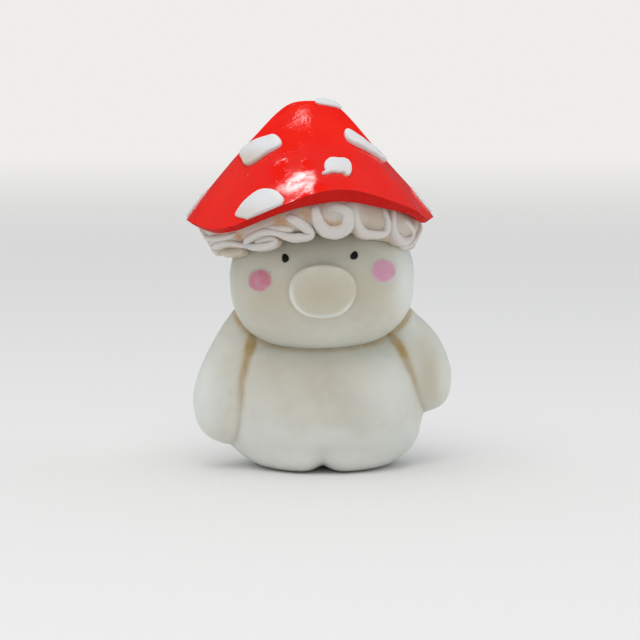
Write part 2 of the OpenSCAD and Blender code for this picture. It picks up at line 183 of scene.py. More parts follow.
def head_level(p):
    """How far a point in the head's own frame lies from its middle: 1 on its surface."""
    wide = (np.abs(2 * p[..., 0] / HEAD_W) ** HEAD_POWER
            + np.abs(2 * p[..., 1] / HEAD_D) ** HEAD_POWER) ** (1 / HEAD_POWER)
    power = np.where(p[..., 2] > 0, CROWN_POWER, CHIN_POWER)
    return (wide ** power + np.abs(2 * p[..., 2] / HEAD_H) ** power) ** (1 / power)


def sight_lines(points):
    """The camera's place, and its directions through points of the front view's grid."""
    points = np.asarray(points, float)
    eye = np.array(VIEW_MIDDLE) + VIEW_BACK * VIEW_FAR
    through = np.array(VIEW_MIDDLE) + GRID * (points[..., :1] * VIEW_SIDE + points[..., 1:2] * VIEW_RISE)
    way = through - eye
    return eye, way / np.linalg.norm(way, axis=-1, keepdims=True)


def seen_on(tree, points):
    """Where points of the front view's grid lie on a piece."""
    eye, ways = sight_lines(points)
    places = []
    for way in ways.reshape(-1, 3):
        hit = tree.ray_cast(Vector(eye * MM), Vector(way))[0]
        if hit is None:
            hit = tree.find_nearest(Vector((eye + way * VIEW_FAR) * MM))[0]
        places.append(np.array(hit) / MM)
    return np.array(places).reshape(ways.shape)


def grid_of(p):
    """Where points appear on the front view's grid."""
    local = p - np.array(VIEW_MIDDLE)
    far = VIEW_FAR / (VIEW_FAR - local @ VIEW_BACK) / GRID
    return local[..., 0] * far, (local @ VIEW_RISE) * far


def off_head(p, gap, soft=0.25):
    """Presses a piece's points out of the head, with a gap and a rounded edge where they meet it."""
    local = to_head(p)
    level = head_level(local)
    reach = HEAD_W / 2
    wanted = smooth_max(level, 1 + gap / reach, soft / reach)
    return from_head(local * (wanted / level)[..., None])


def body_share(z):
    """Share of the body's half width at a height share."""
    table = np.array(BODY_OUTLINE[2:])
    return np.interp(z, table[:, 0], table[:, 1])


def off_body(p, gap, soft=0.4):
    """Presses a piece's points sideways out of the body."""
    z = p[..., 2] / BODY_H
    slope = math.tan(math.radians(CHEST_SLOPE))
    z = np.clip((p[..., 2] - p[..., 1] * slope * np.clip(z, 0, 1) ** CHEST_POWER) / BODY_H, 0, 1)
    wide = np.maximum(body_share(z), 0.02)
    level = np.hypot(2 * p[..., 0] / BODY_W, 2 * p[..., 1] / BODY_D) / wide
    reach = BODY_W / 2 * wide
    wanted = smooth_max(level, 1 + gap / reach, soft / reach)
    out = p.copy()
    out[..., :2] *= (wanted / level)[..., None]
    return out


def face_y(x, z):
    """The head's front surface, in its own frame."""
    power = np.where(z > 0, CROWN_POWER, CHIN_POWER)
    wide = (1 - np.abs(2 * z / HEAD_H) ** power) ** (HEAD_POWER / power)
    return -HEAD_D / 2 * (wide - np.abs(2 * x / HEAD_W) ** HEAD_POWER) ** (1 / HEAD_POWER)


def cap_place(angle, r, h):
    """The cap's own frame: an angle in degrees, a radius, and a height over the level of the rim."""
    a, tilt = np.radians(angle), math.radians(CAP_TILT)
    x, y = r * np.cos(a), r * np.sin(a)
    h = h + 0 * x
    return np.stack([x + CAP_SHIFT, y * math.cos(tilt) + h * math.sin(tilt),
                     h * math.cos(tilt) - y * math.sin(tilt) + CAP_Z], axis=-1)


def in_cap(p):
    """The cap's own frame of a point: x and y from its axis, and the height over the level of the rim."""
    tilt = math.radians(CAP_TILT)
    x, y, z = p[..., 0] - CAP_SHIFT, p[..., 1], p[..., 2] - CAP_Z
    return x, y * math.cos(tilt) - z * math.sin(tilt), y * math.sin(tilt) + z * math.cos(tilt)


def rim_lift(angle):
    """How far the cap's rim waves up or down at an angle."""
    return RIM_DROOP * bumps(RIM_WAVES, angle)


def rim_radius(angle):
    return CAP_R * (1 + bumps(RIM_CORNERS, angle))


def rim_thickness(angle):
    return RIM_T + RIM_FRONT_T * np.exp(-(angle_from(RIM_THICK_AT, angle) / RIM_THICK_SPREAD) ** 2)


def dome(s):
    """Share of the cap's height at a share of its radius: a cone with a rounded top."""
    return 1 + DOME_TOP - ((DOME_SLOPE * s) ** DOME_POWER + DOME_TOP ** DOME_POWER) ** (1 / DOME_POWER)


# Swells and hollows of the cap: angle, share of the radius, spread of both, height
CAP_SWELLS = [(254, 0.40, 30, 0.10, 0.30), (276, 0.74, 30, 0.10, -0.50), (345, 0.55, 35, 0.22, -0.55),
              (205, 0.72, 22, 0.16, 0.15)]


def cap_height(angle, s):
    """Height of the cap's outside over the level of the rim."""
    swells = sum(high * np.exp(-(angle_from(at, angle) / wide) ** 2 - ((s - middle) / long) ** 2)
                 for at, middle, wide, long, high in CAP_SWELLS)
    return (CAP_H * dome(s) + (rim_thickness(angle) - CAP_H * dome(1)) * s ** 6
            + rim_lift(angle) * s ** 3 + swells * ramp(s, 0, 0.2))


def under_height(angle, q):
    """Height of the cap's hollow over the level of the rim."""
    return rim_lift(angle) * q ** 3 + HOLLOW_H * (1 - q ** 6)


def cap_point(angle, s):
    """A place on the cap's outside, at an angle and a share of the radius."""
    return cap_place(angle, s * rim_radius(angle), cap_height(angle, s))


# Meshes

def new_object(name, mesh):
    piece = bpy.data.objects.new(name, mesh)
    bpy.context.scene.collection.objects.link(piece)
    mesh.shade_smooth()
    return piece


def skin(name, first, rings, last):
    """A closed mesh over a stack of rings, each counter-clockwise as seen from the last one's side."""
    rings = np.asarray(rings, float)
    m, n = rings.shape[:2]
    points = np.vstack([np.reshape(first, (1, 3)), rings.reshape(-1, 3), np.reshape(last, (1, 3))]) * MM
    i = np.arange(n)
    j = (i + 1) % n
    faces = [(0, 1 + b, 1 + a) for a, b in zip(i, j)]
    for k in range(m - 1):
        low = 1 + k * n
        faces += [(low + a, low + b, low + n + b, low + n + a) for a, b in zip(i, j)]
    low = 1 + (m - 1) * n
    faces += [(m * n + 1, low + a, low + b) for a, b in zip(i, j)]
    mesh = bpy.data.meshes.new(name)
    mesh.from_pydata([tuple(p) for p in points], [], [tuple(int(v) for v in f) for f in faces])
    return new_object(name, mesh)


def turn_outwards(shell):
    """Turns a closed shell's faces outwards where its rings ran the other way round."""
    if shell.calc_volume(signed=True) < 0:
        bmesh.ops.reverse_faces(shell, faces=shell.faces)


def turn_piece_outwards(piece):
    """Does the same to a finished piece."""
    shell = bmesh.new()
    shell.from_mesh(piece.data)
    turn_outwards(shell)
    shell.to_mesh(piece.data)
    shell.free()


def hoop(name, rings):
    """A closed ring: the last row of points joins the first."""
    m, n = rings.shape[:2]
    faces = []
    for k in range(m):
        a0, b0 = k * n, (k + 1) % m * n
        faces += [(a0 + i, a0 + (i + 1) % n, b0 + (i + 1) % n, b0 + i) for i in range(n)]
    mesh = bpy.data.meshes.new(name)
    mesh.from_pydata([tuple(p) for p in rings.reshape(-1, 3) * MM], [], faces)
    piece = new_object(name, mesh)
    turn_piece_outwards(piece)
    return piece


def points_of(piece):
    """A piece's points, in millimetres."""
    out = np.zeros(len(piece.data.vertices) * 3)
    piece.data.vertices.foreach_get("co", out)
    return out.reshape(-1, 3) / MM


def normals_of(piece):
    out = np.zeros(len(piece.data.vertices) * 3)
    piece.data.vertices.foreach_get("normal", out)
    return out.reshape(-1, 3)


def move_points(piece, points):
    piece.data.vertices.foreach_set("co", (points * MM).ravel())
    piece.data.update()


def paint(piece, name, values):
    """Stores one number for each vertex, for the piece's material to read."""
    layer = piece.data.attributes.get(name) or piece.data.attributes.new(name, "FLOAT", "POINT")
    layer.data.foreach_set("value", np.asarray(values, np.float32))


def swell_piece(piece, height, size, seed):
    """Lifts and lowers a piece's surface gently along its own normals."""
    p = points_of(piece)
    move_points(piece, p + normals_of(piece) * (height * swell(p, size, seed))[:, None])


def tree_of(piece):
    mesh = piece.data
    return BVHTree.FromPolygons([v.co for v in mesh.vertices], [tuple(f.vertices) for f in mesh.polygons])


# Painted shade and light on the clay: right and up on the grid, reach of both; above 0 warmer, darker painted
# shade, below 0 cooler, paler painted light
PAINTED_SHADE_AND_LIGHT = [(-8, 72, 62, 26, 0.1), (-48, 25, 34, 34, 0.95), (2, 26, 40, 26, 1), (45, 30, 30, 30, 0.85),
         (-50, -50, 26, 30, 0.5), (0, -58, 60, 34, 0.5), (-85, 40, 12, 40, 0.4), (108, -60, 14, 34, 1),
         (5, -136, 9, 9, 0.5), (88, 40, 12, 50, -1), (-118, -80, 20, 60, -0.8), (126, -60, 10, 40, -0.4),
         (0, -24, 50, 14, -0.5), (72, -75, 34, 46, -0.5), (-60, -120, 40, 34, -0.4), (60, -130, 60, 30, -0.3)]


def paint_shade_and_light(piece):
    """Paints shade on the clay, warmer and darker in places on its front, and paler, cooler light in others.
    """
    p = points_of(piece)
    seen = grid_of(p)
    front = ramp(-p[:, 1], -4, 2)
    for name, sign in (("warm_shade", 1), ("cool_light", -1)):
        total = 0 * p[:, 0]
        for *place, amount in PAINTED_SHADE_AND_LIGHT:
            total = np.maximum(total, sign * amount * patch(seen, *place) * (front if sign > 0 else 1))
        old = piece.data.attributes.get(name)
        if old is not None:
            was = np.zeros(len(total), np.float32)
            old.data.foreach_get("value", was)
            total = np.maximum(total, was)
        paint(piece, name, np.clip(total, 0, 1))


def nearness(piece, tree, limit):
    """How far each point lies from a neighbour, in millimetres and up to a limit."""
    near = np.full(len(piece.data.vertices), float(limit))
    for k, v in enumerate(piece.data.vertices):
        found = tree.find_nearest(v.co, limit * MM)
        if found[3] is not None:
            near[k] = min(limit, found[3] / MM)
    return near


def fill_crease(piece, near, width):
    """Clay smoothed into the crease with a neighbour, over a width on either side."""
    lift = np.clip(width - near, 0, None) ** 2 / (4 * width)
    move_points(piece, points_of(piece) + normals_of(piece) * lift[:, None])


# The creases' grime and painted shade is fainter low down: the share that is left there, and the heights it
# fades between
CREASE_LOW_SHARE, CREASE_FADE_HEIGHTS = 0.2, (6, 20)


def press_together(piece, neighbours, reach, width):
    """Paints grime and painted shade in the creases with neighbours, each with a strength; clay fills the
    creases over a width.
    """
    bottom = width / 4
    limit = max(3 * reach + bottom, width)
    nearest = np.full(len(piece.data.vertices), limit)
    crease = 0 * nearest
    for tree, strength in neighbours:
        near = nearness(piece, tree, limit)
        crease = np.maximum(crease, strength * np.minimum(np.exp((bottom - near) / reach), 1))
        nearest = np.minimum(nearest, near)
    upper = ramp(points_of(piece)[:, 2], *CREASE_FADE_HEIGHTS)
    paint(piece, "crease", crease * (CREASE_LOW_SHARE + (1 - CREASE_LOW_SHARE) * upper))
    if width:
        fill_crease(piece, nearest, width)


# How far pressed pieces sink into their neighbours, and how round the edge is where they meet
BODY_IN_HEAD, ARM_IN_BODY, ARM_IN_HEAD, PRESS_ROUND = 0.6, 1.0, 0.3, 0.1
# The body's right half is wider, its toes come forward, and its chest dips in front below the chin
BODY_WIDER, TOES_OUT, TOES_HIGH, CHEST_DIP = 1.03, 0.2, 4, 1.9
# Dents that the maker's fingers left in the body's front: x, z, half width, half height, depth
BODY_DENTS = [(-7.8, 10.6, 1.9, 1.0, 0.16), (3.6, 13.2, 0.8, 1.5, 0.10), (-1.5, 12.0, 5.0, 3.5, 0.12)]
# Between the feet, a broad valley and a notch: half width, height, depth; and how far the edge is lifted
FOOT_VALLEY, FOOT_NOTCH, FOOT_LIFT = (2.1, 5.2, 1.7), (0.8, 2.6, 0.8), 0.75
FOOT_MIDDLE = 0.1


def make_body():
    """A pear-shaped ball, flat underneath, with a line pressed between the feet."""
    rows = flowing(BODY_OUTLINE, 150)
    angles = round_angles(220)
    share, wide = rows[1:-1, 0][:, None], rows[1:-1, 1][:, None]
    share = np.maximum(share, 0)
    z = share * BODY_H + 0 * angles
    x = wide * BODY_W / 2 * np.cos(angles)
    y = wide * BODY_D / 2 * np.sin(angles)
    x = np.where(x > 0, x * BODY_WIDER, x)
    front = np.clip(-y / 3, 0, 1)
    y = y * (1 + TOES_OUT * front * (1 - ramp(z, 0, TOES_HIGH)))
    for half, tall, deep in (FOOT_VALLEY, FOOT_NOTCH):
        fade = np.clip(1 - z / tall, 0, 1)
        line = np.exp(-((x - FOOT_MIDDLE) / (half * (0.35 + 0.65 * fade))) ** 2) * front
        y = y + deep * fade ** 1.2 * line
    edge = front * np.clip(1 - z / 2.5, 0, 1) * ramp(wide, 0.3, 0.7)
    z = z + FOOT_LIFT * np.exp(-np.abs((x - FOOT_MIDDLE) / 1.4) ** 1.7) * edge
    for at_x, at_z, half_x, half_z, depth in BODY_DENTS:
        y = y + depth * front * np.exp(-((x - at_x) / half_x) ** 2 - ((z - at_z) / half_z) ** 2)
    z = z + y * math.tan(math.radians(CHEST_SLOPE)) * share ** CHEST_POWER
    z = z - CHEST_DIP * ramp(share, 0.55, 0.85) * front
    rings = off_head(np.stack([x, y, z], axis=-1), -BODY_IN_HEAD, PRESS_ROUND)
    top = off_head(np.array([0, 0, BODY_H], float), -BODY_IN_HEAD, PRESS_ROUND)
    piece = skin("body_ball", (0, 0, 0), rings, top)
    p = points_of(piece)
    uneven = 0.10 * swell(p, 9, 11) + 0.035 * swell(p, 3.2, 12)
    keep = ramp(p[:, 2], 0.3, 2.5)
    move_points(piece, p + normals_of(piece) * (uneven * keep)[:, None])
    # Painted light: the body's lowest part is paler and cooler, a painted reflection of the pale floor.
    paint(piece, "cool_light", 0.6 * ramp(-p[:, 2] + 1.2 * swell(p, 6, 13), -9, -5.5))
    return piece


# Lines pressed into the left arm: both ends on the grid, half width in steps, depth
ARM_LINES = [((-91, -45), (-101, -98), 2.2, 0.11), ((-97, -52), (-106, -88), 1.6, 0.07),
             ((-86, -60), (-92, -110), 3.0, 0.10)]


def make_arm(name, side, low, places):
    """A fat roll pressed against the body. Places, from the hand up: height share, out, forward, stouter."""
    rows = flowing(ARM_OUTLINE, 130)[1:-1]
    angles = round_angles(120)
    high, thick = rows[:, 0][:, None], rows[:, 1][:, None]
    table = np.array(places, float)
    out, forward, stout = (np.interp(high, table[:, 0], table[:, k]) for k in (1, 2, 3))
    blend = np.ones(9) / 9
    out, forward, stout = (
        np.convolve(np.pad(v[:, 0], len(blend) // 2, mode="edge"), blend, mode="valid")[:, None]
        for v in (out, forward, stout))
    x = side * out + thick * stout * ARM_T / 2 * np.cos(angles)
    y = thick * stout * ARM_D / 2 * np.sin(angles) - forward
    z = low + high * (ARM_TOP - low) + 0 * angles
    rings = np.stack([x, y, z], axis=-1)
    first = np.array([side * out[0, 0], -forward[0, 0], low])
    last = np.array([side * out[-1, 0], -forward[-1, 0], ARM_TOP])

    def press(p):
        return off_head(off_body(p, -ARM_IN_BODY, PRESS_ROUND), -ARM_IN_HEAD, PRESS_ROUND)

    piece = skin(name, press(first), press(rings), press(last))
    right, up = grid_of(points_of(piece))
    sunk = 0 * right
    for (x0, y0), (x1, y1), wide, deep in ARM_LINES:
        run_x, run_y = x1 - x0, y1 - y0
        t = np.clip(((right - x0) * run_x + (up - y0) * run_y) / (run_x ** 2 + run_y ** 2), 0, 1)
        apart = np.hypot(right - x0 - t * run_x, up - y0 - t * run_y)
        sunk += deep * np.exp(-(apart / wide) ** 2) * np.sin(np.pi * np.clip(t, 0.04, 0.96))
    seen = ramp(-normals_of(piece)[:, 1], 0.1, 0.5)
    move_points(piece, points_of(piece) - normals_of(piece) * (sunk * seen)[:, None])
    swell_piece(piece, 0.09, 7, 20 + side)
    swell_piece(piece, 0.03, 2.6, 30 + side)
    return piece


def make_head():
    """A slightly squared ball, rolled a little to one side."""
    tilt = np.radians(np.linspace(-90, 90, 131)[1:-1])[:, None]
    angles = round_angles(200)
    power = np.where(tilt > 0, CROWN_POWER, CHIN_POWER)
    wide = np.cos(tilt) ** (2 / power)
    x = HEAD_W / 2 * wide * signed_power(np.cos(angles), 2 / HEAD_POWER)
    y = HEAD_D / 2 * wide * signed_power(np.sin(angles), 2 / HEAD_POWER)
    z = HEAD_H / 2 * signed_power(np.sin(tilt), 2 / power) + 0 * angles
    rings = from_head(np.stack([x, y, z], axis=-1))
    ends = from_head(np.array([[0, 0, -HEAD_H / 2], [0, 0, HEAD_H / 2]]))
    piece = skin("head_ball", ends[0], rings, ends[1])
    swell_piece(piece, 0.07, 8, 41)
    return piece


NOSE_W, NOSE_H, NOSE_OUT, NOSE_DROP = 9.8, 7.9, 2.3, 1.0
# From the back of the nose to its front: share of its width, how far out of the face
NOSE_SECTION = [(0.86, -1.4), (0.96, -0.6), (1, 0.3), (1.005, 1.0), (0.99, 1.5), (0.95, 1.85), (0.89, 2.02),
                (0.80, 2.10), (0.6, 2.18), (0.35, 2.24), (0.12, 2.28)]
# How much of the face's own curve the nose keeps, and how deep its back lies in the face
NOSE_BEND, NOSE_SUNK = 0.55, 1.7


def make_nose():
    """A flattened oval button: a slightly domed front, a rounded edge and a side that runs into the face."""
    angles = round_angles(120)
    outline_x = NOSE_W / 2 * signed_power(np.cos(angles), 2 / 2.15) * (1 + 0.015 * np.sin(3 * angles + 0.6))
    outline_z = NOSE_H / 2 * signed_power(np.sin(angles), 2 / 2.1) * (1 + 0.01 * np.cos(2 * angles))
    section = flowing(NOSE_SECTION, 56)
    base = face_y(0.0, -NOSE_DROP)
    rings = []
    for share, out in section:
        x, z = share * outline_x, -NOSE_DROP + share * outline_z
        bend = face_y(x * 0.9, z * 0.9 - 0.1) - base
        rings.append(np.stack([x, base - out + bend * NOSE_BEND, z], axis=-1))
    rings = from_head(np.array(rings))
    ends = from_head(np.array([[0, base + NOSE_SUNK, -NOSE_DROP], [0, base - NOSE_OUT, -NOSE_DROP]]))
    piece = skin("nose_button", ends[0], rings, ends[1])
    turn_piece_outwards(piece)
    # Painted highlight: the lower part of the nose's rounded rim is paler and cooler.
    rim = np.exp(-((section[:, :1] - 0.93) / 0.06) ** 2) * (section[:, 1:] > 0.5)
    low = ramp(-np.sin(angles + 0.35), -0.3, 0.5)
    paint(piece, "cool_light", np.concatenate([[0], (rim * low).ravel(), [0]]))
    swell_piece(piece, 0.035, 4, 51)
    return piece


# Eyes in the head's own frame: right and up, and how they lean in degrees
EYES = {"eye_left": (-5.2, 3.9, 20), "eye_right": (4.85, 3.85, -28)}
EYE_W, EYE_H, EYE_OUT = 1.08, 1.28, 0.36


def make_eye(name, x0, z0, lean):
    """A pinched black bead, a little longer than wide."""
    angles = round_angles(48)
    lean = math.radians(lean)
    pinch = 1 + 0.06 * np.cos(3 * angles + 1 + lean) + 0.05 * np.sin(2 * angles)
    u, v = EYE_W / 2 * np.cos(angles) * pinch, EYE_H / 2 * np.sin(angles) * pinch
    rings = []
    for t in np.linspace(-70, 84, 24):
        share, out = math.cos(math.radians(t)), EYE_OUT * math.sin(math.radians(t))
        x = x0 + share * (u * math.cos(lean) - v * math.sin(lean))
        z = z0 + share * (u * math.sin(lean) + v * math.cos(lean))
        rings.append(np.stack([x, face_y(x, z) - out, z], axis=-1))
    rings = from_head(np.array(rings))
    middle = face_y(x0, z0)
    ends = from_head(np.array([[x0, middle + EYE_OUT, z0], [x0, middle - EYE_OUT, z0]]))
    piece = skin(name, ends[0], rings, ends[1])
    turn_piece_outwards(piece)
    return piece


# Cheeks on the front view's grid: steps right and up, radius, seed
CHEEKS = {"cheek_left": (-60.2, 39.5, 12.6, 1), "cheek_right": (63.4, 49.2, 12.6, 2)}
CHEEK_OUT, CHEEK_SUNK, CHEEK_LIP = 0.09, 0.25, 0.03


def make_cheek(name, right, up, radius, seed, head_tree):
    """A pink pellet pressed flat, its edge smoothed into the face."""
    sides = 96
    angles = round_angles(sides)
    wobble = 1 + 0.02 * np.sin(2 * angles + seed) + 0.012 * np.sin(5 * angles + 2 * seed)
    rings, edge = [], []
    for share in [1.06] + list(np.linspace(1.05, 0.05, 36)):
        seen = np.stack([right + radius * share * wobble * np.cos(angles),
                         up + radius * share * wobble * np.sin(angles)], axis=-1)
        on_face = to_head(seen_on(head_tree, seen))
        out = CHEEK_OUT * ramp(1.05 - share, 0, 0.3)
        out -= CHEEK_SUNK * (share > 1.055) + CHEEK_LIP * (share > 1.04)
        level = head_level(on_face)
        rings.append(on_face * (1 + out / (level * HEAD_W / 2))[..., None])
        edge += [share] * sides
    rings = np.array(rings)
    middle = rings[-1].mean(axis=0)
    back = rings[0].mean(axis=0)
    ends = from_head(np.array([back, middle * (1 + 0.002)]))
    piece = skin(name, ends[0], from_head(rings), ends[1])
    turn_piece_outwards(piece)
    paint(piece, "edge", [1.05] + edge + [0.0])
    return piece


# Round the lip: share of the radius, share of the way down to the rim's level, share of the rim's thickness
LIP = [(0.89, 0.08, 0), (0.92, 0.6, 0), (0.942, 0.97, -0.02), (0.957, 1.05, 0.0), (0.968, 1.02, 0.08),
       (0.978, 1, 0.3), (0.992, 1, 0.68), (1.0, 1, 0.86), (1.004, 1, 0.94)]
# Rows of the cap's mesh: in its hollow, round its lip and over its dome; and where the hollow meets the lip
HOLLOW_ROWS, LIP_ROWS, DOME_ROWS, HOLLOW_EDGE = 40, 30, 105, 0.88
# The cap's gap over the head, and how round the edge is there
CAP_GAP, CAP_GAP_ROUND = 0.05, 0.5
# A flat that a thumb left near the top: right and up on the grid, reach of both, depth
CAP_FLAT = (-28, 203, 20, 14, 0.26)
# A dried drop of varnish: steps right and up on the grid
DROP_SEEN = (-73.5, 145)
# The varnish is worn at the top but for a patch: steps right and up, reach of both, share kept there
TOP_VARNISH = (-18, 203, 18, 6.5, 0.46)
# How much is worn off there, and the heights that it is worn off between
TOP_WORN, TOP_WORN_HEIGHTS = 0.94, (46, 50)
# Where the varnish is thin: steps right and up on the grid, reach, share lost, which past 1 widens it
THIN_VARNISH = [(-32, 180, 11, 3.0), (-17, 183, 6, 3.0), (-42, 147, 7, 3.0), (-37, 155, 4, 2.0),
                (0, 131, 6, 2.5), (-13, 156, 5, 2.0), (-14, 119, 7, 2.5)]
UNDER_VARNISH = 0.2


def make_cap():
    """The drooping hood: its hollow, the lip that turns under, and the dome, with varnish worn in places."""
    sides = 288
    angles = np.linspace(0, 360, sides, endpoint=False)
    rings = []
    for q in np.linspace(0.03, HOLLOW_EDGE, HOLLOW_ROWS):
        rings.append(cap_place(angles, q * rim_radius(angles), under_height(angles, q)))
    for share, down, high in flowing(LIP, LIP_ROWS):
        base = under_height(angles, HOLLOW_EDGE) * (1 - down) + rim_lift(angles) * down
        rings.append(cap_place(angles, share * rim_radius(angles), base + high * rim_thickness(angles)))
    for s in 1 - np.linspace(0, 1, DOME_ROWS, endpoint=False) ** 1.15:
        rings.append(cap_point(angles, s))
    rings = off_head(np.array(rings), CAP_GAP, CAP_GAP_ROUND)
    first = off_head(cap_place(0.0, 0.0, HOLLOW_H), CAP_GAP, CAP_GAP_ROUND)
    piece = skin("cap_hood", first, rings, cap_place(0.0, 0.0, CAP_H))
    p = points_of(piece)
    *place, deep = CAP_FLAT
    pressed = deep * patch(grid_of(p), *place) * (p[:, 1] < 0)
    lift = 0.05 * swell(p, 11, 61) + 0.02 * swell(p, 4.5, 62) - pressed
    move_points(piece, p + normals_of(piece) * lift[:, None])
    p = points_of(piece)
    seen = grid_of(p)
    over = np.arange(len(p)) > (HOLLOW_ROWS + LIP_ROWS) * sides
    *place, kept = TOP_VARNISH
    worn = (TOP_WORN - kept * patch(seen, *place)) * ramp(p[:, 2], *TOP_WORN_HEIGHTS)
    for at_right, at_up, wide, lost in THIN_VARNISH:
        worn = np.maximum(worn, np.minimum(lost * patch(seen, at_right, at_up, wide, wide), 1))
    paint(piece, "varnish", np.where(over, 1 - worn, UNDER_VARNISH))
    # Painted shade: the lip and hollow are marked to take a darker red.
    paint(piece, "band_shade", np.where(over, 0, 1))
    return piece


def cap_out(angle, s):
    """The direction out of the cap's outside."""
    step = 1 / 64
    along = cap_point(angle + 1, s) - cap_point(angle - 1, s)
    up = cap_point(angle, s - step) - cap_point(angle, s + step)
    out = np.cross(along, up)
    return out / np.linalg.norm(out, axis=-1, keepdims=True)


# Spots drawn as the front shows them: thickness, how crowned, how shaded, and an outline on the grid
SPOTS_SEEN = {
    "spot_upper_left": (0.62, 0.10, 1.0, [
        (-79.6, 165.5), (-76.6, 171.1), (-71, 175.4), (-66.8, 178), (-60.4, 181), (-54.1, 183.2),
        (-48.2, 184.8), (-44.3, 184.8), (-41.5, 182.9), (-38.7, 179.2), (-38.9, 175.4), (-42.9, 172.2),
        (-49.9, 168.9), (-56.9, 164.5), (-62.5, 160.3), (-68.2, 156.8), (-74.5, 155.4), (-77.5, 159.6)]),
    "spot_front_right": (0.5, 0.1, 0.4, [
        (2.0, 146.5), (5.5, 148.5), (4.4, 153.5), (5.5, 158.2), (9.5, 161.8), (14, 162.4), (18.5, 161.8),
        (23.5, 161.6), (28, 159.6), (31, 155), (31.6, 149.5), (29.8, 145.6), (26.6, 144.8), (23.4, 147.2),
        (18.5, 147.8), (13, 148.2), (9, 147.2), (5.8, 146.4)]),
    "spot_lower_left": (0.48, 0.3, 0.6, [
        (-84.3, 104.2), (-80.6, 111.5), (-75.5, 118.5), (-68, 125), (-61, 129.3), (-54.3, 131),
        (-47.5, 130.3), (-41.8, 127.8), (-38.3, 124.2), (-36.0, 120.4), (-38.8, 115), (-43, 108.8),
        (-48.5, 103.8), (-55, 100.8), (-62, 99.4), (-69.5, 99.8), (-77, 102)]),
}
# Other spots: angle and share of the cap's radius, turn, thickness, and an outline in millimetres
SPOTS = {
    "spot_top": (322, 0.191, 0, 0.42, [
        (-2.4, -0.6), (-1.2, -0.95), (0.2, -1.05), (1.0, -1.15), (2.1, -0.8), (2.5, 0.2), (2.0, 1.3),
        (0.7, 1.7), (-0.8, 1.6), (-2.1, 1.0), (-2.6, 0.2)]),
    "spot_upper_right": (322.5, 0.552, -27, 0.7, [
        (-3.85, 0.1), (-3.7, 0.95), (-2.9, 1.3), (-1.2, 1.15), (0.6, 1.05), (2.4, 1.0), (3.7, 0.6),
        (4.0, 0),
        (3.5, -0.95), (1.9, -1.3), (0.2, -1.4), (-1.6, -1.6), (-3.0, -1.45), (-3.65, -0.8)]),
    "spot_left_edge": (177, 0.915, 0, 0.55, [
        (-2.3, 0), (-2.0, 1.9), (-0.8, 2.8), (0.9, 2.7), (2.1, 1.7), (2.4, -0.2), (1.9, -2.0), (0.6, -2.9),
        (-1.0, -2.7), (-2.1, -1.7)]),
    "spot_right_edge": (359, 0.895, 0, 0.32, [
        (-2.2, 0.1), (-1.8, 1.6), (-0.6, 2.3), (1.0, 2.2), (2.1, 1.2), (2.2, -0.4), (1.7, -1.7),
        (0.4, -2.4),
        (-1.1, -2.1), (-2.0, -1.2)]),
    "spot_back_top": (120, 0.36, 25, 0.8, [
        (-2.5, 0.2), (-1.9, 1.5), (-0.3, 2.0), (1.6, 1.7), (2.5, 0.5), (2.1, -1.2), (0.4, -2.0),
        (-1.5, -1.5)]),
    "spot_back_left": (140, 0.76, -18, 0.85, [
        (-3.1, -0.2), (-2.7, 1.3), (-1.2, 2.1), (0.8, 2.2), (2.5, 1.5), (3.1, 0.1), (2.5, -1.4),
        (0.9, -2.2),
        (-1.1, -2.1), (-2.6, -1.5)]),
    "spot_back_right": (52, 0.66, 12, 0.85, [
        (-2.9, 0.2), (-2.5, 1.5), (-0.9, 2.1), (1.1, 2.0), (2.6, 1.2), (3.0, -0.2), (2.3, -1.6),
        (0.4, -2.2),
        (-1.5, -1.9), (-2.6, -1.0)]),
    "spot_back_low": (92, 0.86, 5, 0.8, [
        (-2.7, 0.1), (-2.1, 1.5), (-0.4, 2.0), (1.5, 1.6), (2.7, 0.3), (2.0, -1.4), (0.2, -1.9),
        (-1.8, -1.4)]),
}
# Round a spot's edge from its foot: share of the rounding's width inwards, share of the thickness
SPOT_EDGE = [(0.06, -0.4), (0.02, 0.0), (-0.04, 0.25), (-0.04, 0.48), (0.06, 0.72), (0.24, 0.89), (0.5, 0.97),
             (1, 1)]
SPOT_ROUNDING, SPOT_CROWN, SPOT_FOOT = 0.55, 0.08, 0.4
# The share of a spot's thickness at which it is drawn, where it is widest, and the last share of the radius
SPOT_WIDEST, SPOT_LAST = 0.35, 0.998


def build_spot(name, line, thick, crown, seed, place):
    """A flattened blob: its edge is rounded over one width all round, and its face is gently crowned."""
    middle = line.mean(axis=0)
    size = np.linalg.norm(line - middle, axis=1, keepdims=True)
    steps = [((size - SPOT_ROUNDING * inset) / size, high) for inset, high in flowing(SPOT_EDGE, 28)]
    steps += [(steps[-1][0] * share, 1.0) for share in np.linspace(0.92, 0.06, 16)]
    rings = []
    for inner, high in steps:
        points = middle + (line - middle) * inner
        if high > 0:
            uneven = 1 + 0.10 * swell(np.column_stack([points, 0 * points[:, 0]]), 3.0, seed)
            high = high * uneven + crown * (1 - np.clip(inner[:, 0], 0, 1) ** 2) * high
        rings.append(place(points, thick * high))
    first = place(middle[None], -SPOT_FOOT * thick)[0]
    piece = skin(name, first, np.array(rings), rings[-1].mean(axis=0))
    turn_piece_outwards(piece)
    return piece


def cap_scale(angle, s):
    """Millimetres along the cap for a degree of angle, and for the whole radius."""
    step = 1 / 64
    down = np.linalg.norm(cap_point(angle, s + step) - cap_point(angle, s - step)) / (2 * step)
    return s * float(rim_radius(angle)) * math.pi / 180, down


